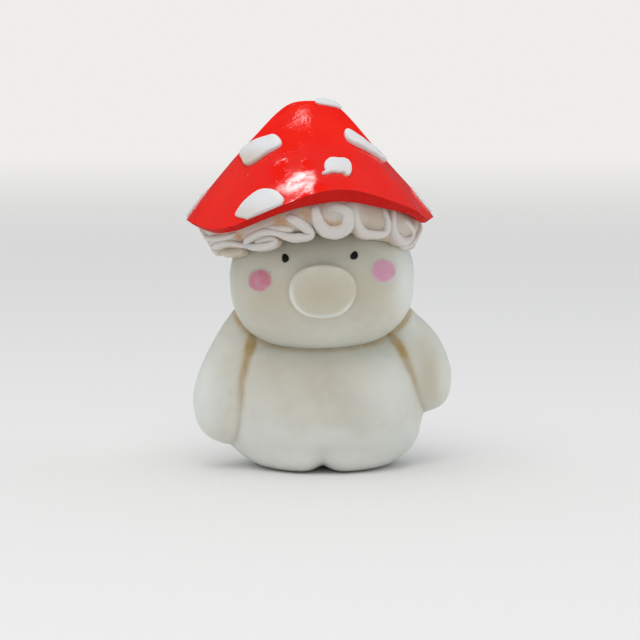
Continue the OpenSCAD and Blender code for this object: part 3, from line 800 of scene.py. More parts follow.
def spot_place(angle, s, lean):
    """What lays a spot's flat outline and heights on the cap, round one place."""
    across, down = cap_scale(angle, s)
    lean = math.radians(lean)

    def place(points, high):
        u, v = points[:, 0], points[:, 1]
        a = angle + (u * math.cos(lean) - v * math.sin(lean)) / across
        q = np.minimum(s - (u * math.sin(lean) + v * math.cos(lean)) / down, SPOT_LAST)
        return cap_point(a, q) + (high + 0 * u)[:, None] * cap_out(a, q)

    return place


def make_spot(name, angle, s, lean, thick, outline, seed):
    line = flowing(outline, 140, closed=True)
    return build_spot(name, line, thick, SPOT_CROWN, seed, spot_place(angle, s, lean))


def raised_cap(angle, s, high):
    """Places over the cap's outside."""
    return cap_point(angle, s) + high * cap_out(angle, s)


def laid_on_cap(seen, high, cap_tree):
    """Angle and share of the radius at which points of the front view's grid lie over the cap's outside.

    The first guess is where a line of sight meets the cap. Every round then moves it nearer on the grid, by
    short steps where the cap is seen edge on.
    """
    turn, reach, soft, longest = 1.0, 0.01, 0.05, 3
    x, y, _ = in_cap(seen_on(cap_tree, seen))
    angle = np.degrees(np.arctan2(y, x)) % 360
    s = np.minimum(np.hypot(x, y) / rim_radius(angle), 0.97)
    for _ in range(30):
        here = np.stack(grid_of(raised_cap(angle, s, high)), axis=-1)
        turned = np.stack(grid_of(raised_cap(angle + turn / 2, s, high)), axis=-1) - here
        outer = np.stack(grid_of(raised_cap(angle, s + reach / 2, high)), axis=-1) - here
        slopes = np.stack([turned * 2, outer * 2], axis=-1)
        wanted = np.einsum("nji,nj->ni", slopes, seen - here)
        square = np.einsum("nji,njk->nik", slopes, slopes) + soft * np.eye(2)
        step = np.clip(np.linalg.solve(square, wanted[..., None])[..., 0], -longest, longest)
        angle, s = angle + turn * step[:, 0], np.clip(s + reach * step[:, 1], 0.05, 1.03)
    return angle, s


def make_seen_spot(name, thick, crown, shade, outline, seed, cap_tree):
    """A spot laid along the cap under the outline that the front view shows, with painted shade that makes it
    greyer towards its foot.
    """
    seen = flowing(np.array(outline, float), 160, closed=True)
    angles, shares = laid_on_cap(seen, SPOT_WIDEST * thick, cap_tree)
    angle, s = angles.mean(), shares.mean()
    across, down = cap_scale(angle, s)
    line = np.column_stack([(angles - angle) * across, (s - shares) * down])
    piece = build_spot(name, line, thick, crown, seed, spot_place(angle, s, 0))
    # Painted shade: the lower part of the spot's outline is greyed.
    up = grid_of(points_of(piece))[1]
    low, high = min(row[1] for row in outline), max(row[1] for row in outline)
    paint(piece, "fold", shade * ramp((high - up) / (high - low), 0.25, 0.9))
    return piece


# The frill: a ribbon on edge under the rim, laid as the front shows it and in even folds behind.
# Along each ribbon: steps right and up on the front view's grid, thickness, how far inward
RIBBONS = {
    "ring": [
        (-5, 116, 1.2, 0.5), (-4.5, 111, 1.5, 0.15), (-3, 104, 1.75, 0), (0, 97, 2.0, 0),
        (5.5, 91, 2.1, 0), (13, 88.7, 2.05, 0), (21, 89.5, 2.1, 0), (27.5, 93.5, 2.2, 0),
        (30, 100, 2.2, 0), (29, 106.5, 2.1, 0), (24, 111, 2.0, 0.05), (18, 112, 2.1, 0.2),
        (12.5, 110, 2.4, 0.35), (10.5, 105.5, 2.3, 0.45), (14, 102.2, 1.6, 0.6),
    ],
    "right": [
        (32, 119, 1.0, 0.8), (35, 113.5, 1.35, 0.35), (36.5, 107, 1.4, 0.25), (38, 100, 1.4, 0.15),
        (41, 93, 1.5, 0.1), (46, 87.7, 1.55, 0.05), (54, 86, 1.35, 0), (63, 85.8, 1.2, 0),
        (68.5, 88.5, 1.1, 0), (70, 95, 1.05, 0), (69, 102, 1.0, 0.05), (66.5, 108, 1.0, 0.2),
        (65, 113, 0.9, 0.5),
    ],
    "far_right": [
        (74.5, 112, 0.9, 0.4), (75, 106, 0.95, 0.1), (75.3, 98, 1.0, 0), (76.2, 91, 1.15, 0),
        (79.5, 84.5, 1.4, 0), (84.5, 80, 1.5, 0), (90.5, 79.7, 1.3, 0), (95, 84, 1.2, 0),
        (95.8, 89.5, 1.2, 0.05), (92, 94.5, 1.25, 0.15), (87, 99, 1.4, 0.3), (83.5, 95.5, 1.3, 0.5),
    ],
    "finger": [
        (-35, 106, 1.2, 0.7), (-31, 103, 1.45, 0.35), (-25, 100, 1.6, 0.1), (-18.5, 96, 1.65, 0),
        (-13, 91.5, 1.5, 0), (-9.5, 88, 1.25, 0), (-9.5, 85, 1.15, 0), (-14, 83.7, 1.25, 0),
        (-21, 83.2, 1.3, 0), (-29, 83, 1.3, 0), (-36, 84.5, 1.3, 0), (-43, 86.7, 1.15, 0),
        (-50, 88.5, 1.1, 0), (-57, 88.7, 1.1, 0), (-64, 87, 1.15, 0), (-71, 83.7, 1.2, 0),
        (-75.5, 80, 1.2, 0), (-76, 76.3, 1.15, 0), (-71, 73.7, 1.15, 0), (-63, 73.5, 1.2, 0),
        (-54, 74.5, 1.2, 0), (-47.5, 77, 1.2, 0), (-45.5, 80, 1.0, 0.1), (-50, 82, 1.0, 0.4),
        (-58, 81, 1.1, 0.55), (-66, 78.5, 1.1, 0.7),
    ],
    "behind_finger": [
        (-64, 93, 1.1, 0.9), (-57, 92.7, 1.2, 0.6), (-49, 93.2, 1.3, 0.4), (-41, 92.5, 1.3, 0.35),
        (-33, 91.5, 1.2, 0.4), (-26, 90.5, 1.1, 0.7),
    ],
    "under_rim": [(-32, 109, 1.0, 1.2), (-23, 110.5, 1.3, 0.9), (-15, 111, 1.3, 0.8), (-9, 108, 1.0, 1.0)],
    "left": [
        (-66, 72.7, 0.9, 0.3), (-74, 74.2, 1.0, 0.05), (-82, 75.7, 1.0, 0), (-90, 77, 1.0, 0),
        (-97, 77.2, 1.0, 0), (-104, 75.5, 1.0, 0), (-108.5, 73, 0.9, 0.1), (-108, 70, 1.1, 0.6),
        (-103, 68.5, 1.5, 0.9), (-95, 68, 1.6, 1.1), (-87, 68.5, 1.5, 1.3), (-79, 70, 1.2, 1.6),
    ],
    "left_top": [
        (-81, 89, 0.9, 0.8), (-88, 86, 1.0, 0.3), (-95, 84, 1.1, 0.05), (-103, 82.2, 1.1, 0),
        (-110, 81.5, 1.15, 0), (-116, 83.2, 1.2, 0), (-120, 86.5, 1.2, 0), (-123, 91, 1.1, 0.2),
    ],
    "left_inner": [
        (-114, 78.5, 1.1, 0.4), (-106, 78.8, 1.1, 0.5), (-97, 79.8, 1.1, 0.6), (-88, 80.8, 1.1, 0.8),
        (-80, 82, 1.0, 1.1),
    ],
}
# The ribbon that goes on round the back: degrees round from the front, height, thickness, how far inward
BACK_START = [
    (56, -1.6, 0.9, 1.0), (61, -3.0, 1.1, 0.5), (68, -4.2, 1.2, 0.3), (76, -4.3, 1.2, 0.1),
    (83, -3.2, 1.2, 0), (88, -1.6, 1.2, 0), (89, -0.2, 1.1, 0.2),
]
BACK_FROM, BACK_TO, BACK_FOLDS = 91.0, 272.0, 13
BACK_LEAN, BACK_SEED = 0.2, 7
# The ribbon's depth inwards from its face, the length over which its ends are rounded, and its steps along
RIBBON_DEPTH, RIBBON_END, RIBBON_STEP = 2.4, 0.6, 0.11
# What the ribbon tree is given besides a path, a seed and a material
RIBBON_MAKE = {"Steps Round": 36, "Squareness": 2.7, "Unevenness": 0.35 * MM, "Lump Size": 3.2 * MM}
# How low the folds hang: degrees round from the front, lowest height
FRILL_LOW = [
    (-90, -4.6), (-70, -5.2), (-50, -5.4), (-30, -4.9), (-10, -3.9), (10, -3.5), (30, -3.6), (50, -4.4),
    (70, -4.6), (90, -3.8), (120, -3.4), (160, -3.1), (200, -3.3), (230, -3.9), (255, -4.4), (270, -4.6),
]


def frill_reach(psi, h):
    """How far out the frill comes: it flares on the left below the rim and draws in towards its foot."""
    flare = 0.9 * np.exp(-(angle_from(-88, psi) / 35) ** 2) * ramp(h, -3.5, 0)
    return FRILL_R + flare - 0.25 * np.clip(-h - 1.2, 0, None) ** 1.5


def seen_on_frill(x, z, inward):
    """The frill's own angle, reach and height behind points of the front view's grid."""
    eye, way = sight_lines(np.stack([x, z], axis=-1))
    ex, ey, eh = in_cap(eye)
    wx, wy, wh = in_cap(eye + way)
    wx, wy, wh = wx - ex, wy - ey, wh - eh
    reach = FRILL_R - inward
    for _ in range(6):
        a, b, c = wx ** 2 + wy ** 2, ex * wx + ey * wy, ex ** 2 + ey ** 2 - reach ** 2
        far = (-b - np.sqrt(np.clip(b ** 2 - a * c, 0, None))) / a
        px, py, h = ex + far * wx, ey + far * wy, eh + far * wh
        psi = np.degrees(np.arctan2(px, -py))
        reach = frill_reach(psi, h) - inward
    return psi, reach, h


def back_path():
    """The folds behind, each a little different: rows of angle, height, thickness and how far inward."""
    rng = np.random.default_rng(BACK_SEED)
    low = np.array(FRILL_LOW, float)
    pitch = (BACK_TO - BACK_FROM) / BACK_FOLDS
    rows = list(BACK_START)
    for fold in range(BACK_FOLDS):
        nudge = rng.uniform(-0.08, 0.08, 2)
        depth = rng.uniform(0.9, 1.08)
        for t in np.arange(0, 1, 0.125) + 0.06:
            psi = BACK_FROM + pitch * (fold + t + nudge[0] * math.sin(TURN * t / 2)
                                       + (BACK_LEAN + nudge[1] * 0.5) * math.sin(2 * TURN * t))
            top = 0.7 + float(rim_lift(psi + 270)) * 0.8
            bottom = np.interp(psi, low[:, 0], low[:, 1]) * depth
            h = (top + bottom) / 2 + (top - bottom) / 2 * math.cos(TURN * t)
            recess = 0.3 * (1 - math.sin(TURN * t / 2))
            rows.append((psi, h, 1.4 + 0.15 * math.sin(5 * fold + TURN * t), recess))
    return rows


def ribbon_path(name, rows):
    """A chain of points along a ribbon, with the directions and sizes that the ribbon tree reads."""
    rows = flowing(rows, 30 * len(rows))
    if name == "back":
        psi, h = rows[:, 0], rows[:, 1]
        reach = frill_reach(psi, h) - rows[:, 3]
    else:
        psi, reach, h = seen_on_frill(rows[:, 0], rows[:, 1], rows[:, 3])
    place = cap_place(psi + 270, reach, h)
    far = np.concatenate([[0], np.cumsum(np.linalg.norm(np.diff(place, axis=0), axis=1))])
    even = np.linspace(0, far[-1], max(24, int(far[-1] / RIBBON_STEP)))
    psi, reach, h, thick = (np.interp(even, far, v) for v in (psi, reach, h, rows[:, 2]))
    place = cap_place(psi + 270, reach, h)
    out = place - cap_place(psi + 270, reach - 5, h)
    out /= np.linalg.norm(out, axis=1, keepdims=True)
    along = np.gradient(place, axis=0)
    along -= (along * out).sum(axis=1, keepdims=True) * out
    along /= np.linalg.norm(along, axis=1, keepdims=True)
    across = np.cross(along, out)
    from_end = np.minimum(even, even[-1] - even)
    round_end = np.sqrt(np.clip(1 - (1 - np.minimum(from_end / RIBBON_END, 1)) ** 2, 0, 1))
    mesh = bpy.data.meshes.new(name)
    mesh.from_pydata([tuple(p) for p in place * MM], [(k, k + 1) for k in range(len(place) - 1)], [])
    for key, value in (("out", out), ("across", across)):
        layer = mesh.attributes.new(key, "FLOAT_VECTOR", "POINT")
        layer.data.foreach_set("vector", value.astype(np.float32).ravel())
    for key, value in (("thick", thick * round_end * MM), ("deep", RIBBON_DEPTH * round_end * MM)):
        layer = mesh.attributes.new(key, "FLOAT", "POINT")
        layer.data.foreach_set("value", value.astype(np.float32))
    return new_object("ribbon_" + name, mesh)


# Orange grime and painted shade in the frill's gaps: steps right and up on the grid, how far inward, size
FRILL_GRIME_AND_SHADE = [(-40, 99, 1.0, 0.85), (-36, 98, 0.9, 0.7), (-16, 107, 1.1, 0.8), (-12.5, 104, 1.0, 0.7),
               (6, 99.5, 0.9, 0.45), (11, 96.7, 0.9, 0.4), (18, 96.3, 0.9, 0.4), (20, 115, 0.6, 0.3),
               (-82, 84.5, 0.7, 0.6), (-42, 80.5, 0.9, 0.5), (32, 84.5, 1.0, 0.4), (67, 103, 0.8, 0.3)]


def paint_frill(piece, strength, pale, deep):
    """Paints grime and painted shade in the gaps, and painted shade in the folds, greyer than on the frill's
    face.
    """
    rows = np.array(FRILL_GRIME_AND_SHADE)
    psi, reach, h = seen_on_frill(rows[:, 0], rows[:, 1], rows[:, 2])
    at = cap_place(psi + 270, reach, h)
    p = points_of(piece)
    far = np.linalg.norm(p[:, None] - at[None], axis=2) / rows[:, 3]
    paint(piece, "crease", strength * np.exp(-far ** 2).max(axis=1))
    # Painted shade: the deeper a point lies behind the frill's face, the greyer it is painted.
    x, y, h = in_cap(p)
    sunk = frill_reach(np.degrees(np.arctan2(x, -y)), h) - np.hypot(x, y)
    paint(piece, "fold", pale + (deep - pale) * ramp(sunk, 0.1, 1.3))


# Nodes

def add(tree, kind, inputs=None, **settings):
    """Adds a node with its settings; each input is a number, a colour or another node's output."""
    node = tree.nodes.new(kind)
    for key, value in settings.items():
        setattr(node, key, value)
    for key, value in (inputs or {}).items():
        if isinstance(value, bpy.types.NodeSocket):
            tree.links.new(value, node.inputs[key])
        else:
            node.inputs[key].default_value = value
    return node


def math_node(tree, operation, *values):
    return add(tree, "ShaderNodeMath", dict(enumerate(values)), operation=operation).outputs[0]


def ribbon_tree():
    """Lays a ribbon along a chain of points: a rounded oblong section swept from the first to the last."""
    tree = bpy.data.node_groups.new("laid_ribbon", "GeometryNodeTree")
    tree.is_modifier = True
    sockets = {}
    for name, kind in (("Path", "Geometry"), ("Steps Round", "Int"), ("Squareness", "Float"),
                       ("Unevenness", "Float"), ("Lump Size", "Float"), ("Seed", "Float"),
                       ("Material", "Material")):
        socket = tree.interface.new_socket(name, in_out="INPUT", socket_type="NodeSocket" + kind)
        sockets[name] = socket.identifier
    tree.interface.new_socket("Ribbon", in_out="OUTPUT", socket_type="NodeSocketGeometry")
    given = tree.nodes.new("NodeGroupInput").outputs
    count = add(tree, "GeometryNodeAttributeDomainSize", {"Geometry": given["Path"]}).outputs["Point Count"]
    round_count = math_node(tree, "ADD", given["Steps Round"], 1.0)
    inputs = {"Size X": 1.0, "Size Y": 1.0, "Vertices X": count, "Vertices Y": round_count}
    grid = add(tree, "GeometryNodeMeshGrid", inputs).outputs["Mesh"]
    place = tree.nodes.new("GeometryNodeInputPosition").outputs[0]
    split = add(tree, "ShaderNodeSeparateXYZ", {0: place}).outputs
    along = math_node(tree, "ADD", split["X"], 0.5)
    last = math_node(tree, "SUBTRACT", count, 1.0)
    index = math_node(tree, "ROUND", math_node(tree, "MULTIPLY", along, last))
    turn = math_node(tree, "MULTIPLY", math_node(tree, "ADD", split["Y"], 0.5), TURN)
    power = math_node(tree, "DIVIDE", 2.0, given["Squareness"])

    def squared(operation):
        wave = math_node(tree, operation, turn)
        size = math_node(tree, "POWER", math_node(tree, "ABSOLUTE", wave), power)
        return math_node(tree, "MULTIPLY", math_node(tree, "SIGN", wave), size)

    def sampled(value, kind):
        inputs = {"Geometry": given["Path"], "Value": value, "Index": index}
        return add(tree, "GeometryNodeSampleIndex", inputs, data_type=kind, domain="POINT").outputs["Value"]

    def carried(name, kind):
        read = add(tree, "GeometryNodeInputNamedAttribute", {"Name": name}, data_type=kind)
        return sampled(read.outputs["Attribute"], kind)

    def scaled(vector, scale):
        return add(tree, "ShaderNodeVectorMath", {0: vector, "Scale": scale}, operation="SCALE").outputs[0]

    def moved(start, way):
        return add(tree, "ShaderNodeVectorMath", {0: start, 1: way}, operation="ADD").outputs[0]

    half = math_node(tree, "MULTIPLY", carried("thick", "FLOAT"), 0.5)
    sideways = math_node(tree, "MULTIPLY", half, squared("SINE"))
    half_deep = math_node(tree, "MULTIPLY", carried("deep", "FLOAT"), 0.5)
    inward = math_node(tree, "MULTIPLY", half_deep, math_node(tree, "SUBTRACT", squared("COSINE"), 1.0))
    to_side = moved(sampled(place, "FLOAT_VECTOR"), scaled(carried("across", "FLOAT_VECTOR"), sideways))
    to_depth = moved(to_side, scaled(carried("out", "FLOAT_VECTOR"), inward))
    swept = add(tree, "GeometryNodeSetPosition", {"Geometry": grid, "Position": to_depth}).outputs[0]
    joined = add(tree, "GeometryNodeMergeByDistance", {"Geometry": swept, "Distance": 0.000004}).outputs[0]
    inputs = {"W": given["Seed"], "Scale": math_node(tree, "DIVIDE", 1.0, given["Lump Size"]), "Detail": 2.0}
    lumps = add(tree, "ShaderNodeTexNoise", inputs, noise_dimensions="4D").outputs[0]
    lift = math_node(tree, "MULTIPLY", math_node(tree, "SUBTRACT", lumps, 0.5), given["Unevenness"])
    push = scaled(tree.nodes.new("GeometryNodeInputNormal").outputs[0], lift)
    uneven = add(tree, "GeometryNodeSetPosition", {"Geometry": joined, "Offset": push}).outputs[0]
    smooth = add(tree, "GeometryNodeSetShadeSmooth", {"Geometry": uneven}).outputs[0]
    real = add(tree, "GeometryNodeRealizeInstances", {"Geometry": smooth}).outputs[0]
    dressed = add(tree, "GeometryNodeSetMaterial", {"Geometry": real, "Material": given["Material"]})
    tree.links.new(dressed.outputs[0], tree.nodes.new("NodeGroupOutput").inputs[0])
    return tree, sockets


def make_frill(material):
    """All the ribbons of the frill as one piece."""
    tree, sockets = ribbon_tree()
    joined = bmesh.new()
    paths = dict(RIBBONS, back=back_path())
    for seed, (name, rows) in enumerate(paths.items()):
        path = ribbon_path(name, rows)
        modifier = path.modifiers.new("ribbon", "NODES")
        modifier.node_group = tree
        for key, value in dict(RIBBON_MAKE, Seed=float(seed), Material=material).items():
            modifier[sockets[key]] = value
        bpy.context.view_layer.update()
        shaped = path.evaluated_get(bpy.context.evaluated_depsgraph_get())
        plain = bpy.data.meshes.new_from_object(shaped)
        part = bmesh.new()
        part.from_mesh(plain)
        turn_outwards(part)
        part.to_mesh(plain)
        part.free()
        joined.from_mesh(plain)
        path.modifiers.clear()
        bpy.data.objects.remove(path)
    mesh = bpy.data.meshes.new("frill_ribbon")
    joined.to_mesh(mesh)
    joined.free()
    return new_object("frill_ribbon", mesh)


# The collar's outline from the cap down: share of its height, how far inward from the frill's face
COLLAR_OUTLINE = [(0, 2.0), (0.02, 1.25), (0.12, 0.8), (0.3, 0.66), (0.55, 0.66), (0.75, 0.85), (0.9, 1.25),
                  (0.98, 2.0), (1, 3.0)]
# The collar's inner radius at its top and foot, and the width over which its clay is smoothed at the frill
COLLAR_TOP_R, COLLAR_LOW_R, COLLAR_CREASE = 11.5, 11.0, 0.8


def make_collar():
    """A soft ring of white clay that fills the ribbon's folds, closed against the head."""
    sides = 360
    angles = np.linspace(0, 360, sides, endpoint=False)
    psi = (angles + 180) % 360 - 90
    low = np.array(FRILL_LOW, float)
    bottom = np.interp(psi, low[:, 0], low[:, 1]) + 0.5
    top = under_height(angles, HOLLOW_EDGE) + 0.15
    turn = np.radians(angles)
    round_line = np.stack([14 * np.cos(turn), 14 * np.sin(turn), 0 * angles], axis=1)
    rings = []
    for down, inward in flowing(COLLAR_OUTLINE, 44):
        h = top + (bottom - top) * down
        pillow = 0.22 * swell(round_line + np.array([0, 0, 3 * down]), 4.2, 71)
        rings.append(cap_place(angles, frill_reach(psi, h) - inward + pillow, h))
    rings = np.array(rings)[::-1]
    inner_top = cap_place(angles, COLLAR_TOP_R + 0 * angles, under_height(angles, 0.64) + 0.05)
    inner_low = cap_place(angles, COLLAR_LOW_R + 0 * angles, bottom + 0.8)
    loop = off_head(np.concatenate([rings, inner_top[None], inner_low[None]]), 0.05, 0.1)
    return hoop("collar_ring", loop)


# Finishes. Patterns read Object coordinates, in metres.

# Some of these colours are painted light: the darker warm pale is painted shade and the cool pale painted
# light; the crease and gap browns are grime and painted shade; the fold white and the band red are painted
# shade.
PALE, PALE_WARM, PALE_COOL_LIGHT = (0.685, 0.685, 0.615, 1), (0.565, 0.56, 0.49, 1), (0.765, 0.795, 0.765, 1)
PALE_WARM_SHADE, GRIME_AND_SHADE = (0.565, 0.525, 0.415, 1), (0.47, 0.32, 0.12, 1)
WHITE, WHITE_SHADE, WHITE_GRIME_AND_SHADE = (0.77, 0.78, 0.80, 1), (0.74, 0.725, 0.71, 1), (0.58, 0.27, 0.07, 1)
WHITE_FOLD_SHADE = (0.56, 0.47, 0.37, 1)
RED, RED_DEEP, RED_WARM = (0.90, 0.017, 0.011, 1), (0.80, 0.012, 0.008, 1), (0.93, 0.032, 0.016, 1)
RED_BAND_SHADE = (0.58, 0.010, 0.007, 1)
PINK_LEFT, PINK_RIGHT, PINK_CLOUD = (0.58, 0.19, 0.26, 1), (0.66, 0.31, 0.44, 1), (0.68, 0.40, 0.48, 1)
BLACK, BLACK_WORN, DUST = (0.004, 0.004, 0.005, 1), (0.014, 0.013, 0.013, 1), (0.12, 0.10, 0.07, 1)
WOOD_PALE, WOOD_GRAIN, WOOD_PORE = (0.60, 0.41, 0.20, 1), (0.40, 0.24, 0.10, 1), (0.2, 0.11, 0.05, 1)


def new_group(name, inputs, outputs):
    """A node group for materials. Inputs have a name, a kind and a value, outputs a name and a kind."""
    tree = bpy.data.node_groups.new(name, "ShaderNodeTree")
    for label, kind, value in inputs:
        socket = tree.interface.new_socket(label, in_out="INPUT", socket_type="NodeSocket" + kind)
        socket.default_value = value
    for label, kind in outputs:
        tree.interface.new_socket(label, in_out="OUTPUT", socket_type="NodeSocket" + kind)
    return tree, tree.nodes.new("NodeGroupInput").outputs, tree.nodes.new("NodeGroupOutput").inputs


def object_place(tree):
    return tree.nodes.new("ShaderNodeTexCoord").outputs["Object"]


def mix_colour(tree, share, a, b):
    return add(tree, "ShaderNodeMix", {0: share, 6: a, 7: b}, data_type="RGBA").outputs[2]


def between(tree, value, low, high, to_low=0.0, to_high=1.0):
    """A value taken smoothly from one range to another, and kept inside that."""
    inputs = {"Value": value, "From Min": low, "From Max": high, "To Min": to_low, "To Max": to_high}
    return add(tree, "ShaderNodeMapRange", inputs, interpolation_type="SMOOTHSTEP").outputs[0]


def painted(tree, name):
    """The numbers that paint stored on a piece."""
    return add(tree, "ShaderNodeAttribute", attribute_name=name, attribute_type="GEOMETRY").outputs["Fac"]


def lumpy(tree, place, scale, detail, roughness=0.5):
    """A cloudy pattern of lumps, from 0 to 1."""
    inputs = {"Vector": place, "Scale": scale, "Detail": detail, "Roughness": roughness}
    return add(tree, "ShaderNodeTexNoise", inputs).outputs[0]


def stretched(tree, place, share, turn=(0.0, 0.0, 0.0)):
    """Where to read a pattern that is drawn out along one line."""
    inputs = {"Vector": place, "Scale": (1.0, 1.0, share), "Rotation": turn}
    return add(tree, "ShaderNodeMapping", inputs).outputs[0]


def relief(tree, *parts):
    """A height in metres: patterns, each times its own height, laid over each other."""
    heights = [math_node(tree, "MULTIPLY", pattern, high) for pattern, high in parts]
    total = heights[0]
    for height in heights[1:]:
        total = math_node(tree, "ADD", total, height)
    return total


def build_patches():
    """Cloudy patches of a second tone, as where clay picks up warmth and grime from the hands."""
    tree, given, out = new_group("clay_patches", [
        ("Base", "Color", (0.6, 0.6, 0.5, 1)), ("Patch", "Color", (0.5, 0.5, 0.4, 1)),
        ("Patch Size", "Float", 0.007), ("Patch Strength", "Float", 0.6)], [("Color", "Color")])
    place = object_place(tree)
    rate = math_node(tree, "DIVIDE", 1.0, given["Patch Size"])
    large = lumpy(tree, place, rate, 3.0, 0.55)
    small = lumpy(tree, place, math_node(tree, "MULTIPLY", rate, 7.0), 2.0)
    cloud = math_node(tree, "ADD", large, math_node(tree, "MULTIPLY", small, 0.3))
    share = math_node(tree, "MULTIPLY", between(tree, cloud, 0.5, 0.82), given["Patch Strength"])
    tree.links.new(mix_colour(tree, share, given["Base"], given["Patch"]), out["Color"])
    return tree


def build_specks():
    """Sparse dust specks caught in the clay before it was baked."""
    tree, given, out = new_group("dust_specks", [
        ("Spacing", "Float", 0.002), ("Speck Size", "Float", 0.00012), ("Share", "Float", 0.12)],
        [("Mask", "Float")])
    place = object_place(tree)
    rate = math_node(tree, "DIVIDE", 1.0, given["Spacing"])
    cells = add(tree, "ShaderNodeTexVoronoi", {"Vector": place, "Scale": rate})
    apart = math_node(tree, "MULTIPLY", cells.outputs["Distance"], given["Spacing"])
    tone = add(tree, "ShaderNodeSeparateColor", {0: cells.outputs["Color"]}).outputs
    size = math_node(tree, "MULTIPLY", given["Speck Size"], math_node(tree, "ADD", 0.35, tone["Green"]))
    dot = math_node(tree, "LESS_THAN", apart, size)
    chosen = math_node(tree, "LESS_THAN", tone["Red"], given["Share"])
    depth = math_node(tree, "ADD", 0.35, math_node(tree, "MULTIPLY", tone["Blue"], 0.5))
    mask = math_node(tree, "MULTIPLY", math_node(tree, "MULTIPLY", dot, chosen), depth)
    tree.links.new(mask, out["Mask"])
    return tree


def build_shade_and_light():
    """Painted shade and light on the clay: warmer and darker painted shade, and paler, cooler painted light,
    each from its painted attribute.
    """
    tree, given, out = new_group("clay_painted_shade_and_light", [
        ("Color", "Color", (0.6, 0.6, 0.5, 1))], [("Color", "Color")])
    colour = given["Color"]
    for name, tone in (("warm_shade", PALE_WARM_SHADE), ("cool_light", PALE_COOL_LIGHT)):
        colour = mix_colour(tree, painted(tree, name), colour, tone)
    tree.links.new(colour, out["Color"])
    return tree


def build_crease():
    """Warm grime and painted shade in the creases, from the crease attribute of a piece."""
    tree, given, out = new_group("crease_grime_and_shade", [
        ("Color", "Color", (0.6, 0.6, 0.5, 1)), ("Grime And Shade", "Color", (0.3, 0.2, 0.08, 1)),
        ("Strength", "Float", 0.8)], [("Color", "Color"), ("Mask", "Float")])
    blotches = lumpy(tree, object_place(tree), 420.0, 2.0)
    uneven = between(tree, blotches, 0.25, 0.75, 0.7, 1.15)
    broken = math_node(tree, "MULTIPLY", painted(tree, "crease"), uneven)
    mask = math_node(tree, "MINIMUM", math_node(tree, "MULTIPLY", broken, given["Strength"]), 1.0)
    tree.links.new(mix_colour(tree, mask, given["Color"], given["Grime And Shade"]), out["Color"])
    tree.links.new(mask, out["Mask"])
    return tree


def build_skin():
    """Height of a hand-smoothed skin, in metres: soft dents, faint smears and a fine grain."""
    tree, given, out = new_group("hand_smoothed", [
        ("Dent Size", "Float", 0.0035), ("Dents", "Float", 0.00003), ("Smears", "Float", 0.000008),
        ("Grain", "Float", 0.000004)], [("Height", "Float")])
    place = object_place(tree)
    dents = lumpy(tree, place, math_node(tree, "DIVIDE", 1.0, given["Dent Size"]), 1.0)
    smears = lumpy(tree, stretched(tree, place, 0.16, (0.2, 0.35, 0.0)), 1500.0, 3.0)
    grain = lumpy(tree, place, 5000.0, 2.0)
    height = relief(tree, (dents, given["Dents"]), (smears, given["Smears"]), (grain, given["Grain"]))
    tree.links.new(height, out["Height"])
    return tree


def placed_group(tree, group, inputs):
    return add(tree, "ShaderNodeGroup", inputs, node_tree=group).outputs


def new_material(name, **values):
    """A material with a Principled BSDF whose plain values are set on its own sockets."""
    material = bpy.data.materials.new(name)
    material.use_nodes = True
    tree = material.node_tree
    shader = tree.nodes["Principled BSDF"]
    for key, value in values.items():
        shader.inputs[key.replace("_", " ").title().replace("Ior", "IOR")].default_value = value
    return material, tree, shader.inputs


def bump(tree, height, sockets):
    """Relief from a height in metres."""
    node = add(tree, "ShaderNodeBump", {"Height": height, "Distance": 1.0, "Strength": 1.0})
    tree.links.new(node.outputs[0], sockets["Normal"])


def make_clay():
    """Pale clay that was handled bare: satin, patchy, with grime and painted shade in its creases, painted
    shade and light in places, and sparse dust.
    """
    material, tree, sockets = new_material("pale_clay_satin", roughness=0.45, specular_ior_level=0.35,
                                           subsurface_weight=0.35, subsurface_scale=0.002,
                                           subsurface_radius=(1.0, 0.85, 0.6), coat_weight=0.12,
                                           coat_roughness=0.25, sheen_weight=0.2, sheen_roughness=0.4,
                                           sheen_tint=(0.88, 1.0, 0.97, 1))
    clay = placed_group(tree, PATCHES, {"Base": PALE, "Patch": PALE_WARM, "Patch Size": 0.009})
    clay = placed_group(tree, SHADE_AND_LIGHT, {"Color": clay["Color"]})
    clay = placed_group(tree, CREASE, {"Color": clay["Color"], "Grime And Shade": GRIME_AND_SHADE, "Strength": 0.95})
    dust = placed_group(tree, SPECKS, {"Spacing": 0.0026, "Speck Size": 0.00013, "Share": 0.16})
    colour = mix_colour(tree, dust["Mask"], clay["Color"], DUST)
    tree.links.new(colour, sockets["Base Color"])
    tree.links.new(between(tree, clay["Mask"], 0, 1, 0.42, 0.62), sockets["Roughness"])
    skin_height = placed_group(tree, SKIN, {"Dent Size": 0.004, "Dents": 0.00012, "Smears": 0.000010,
                                            "Grain": 0.000003})
    bump(tree, skin_height["Height"], sockets)
    return material


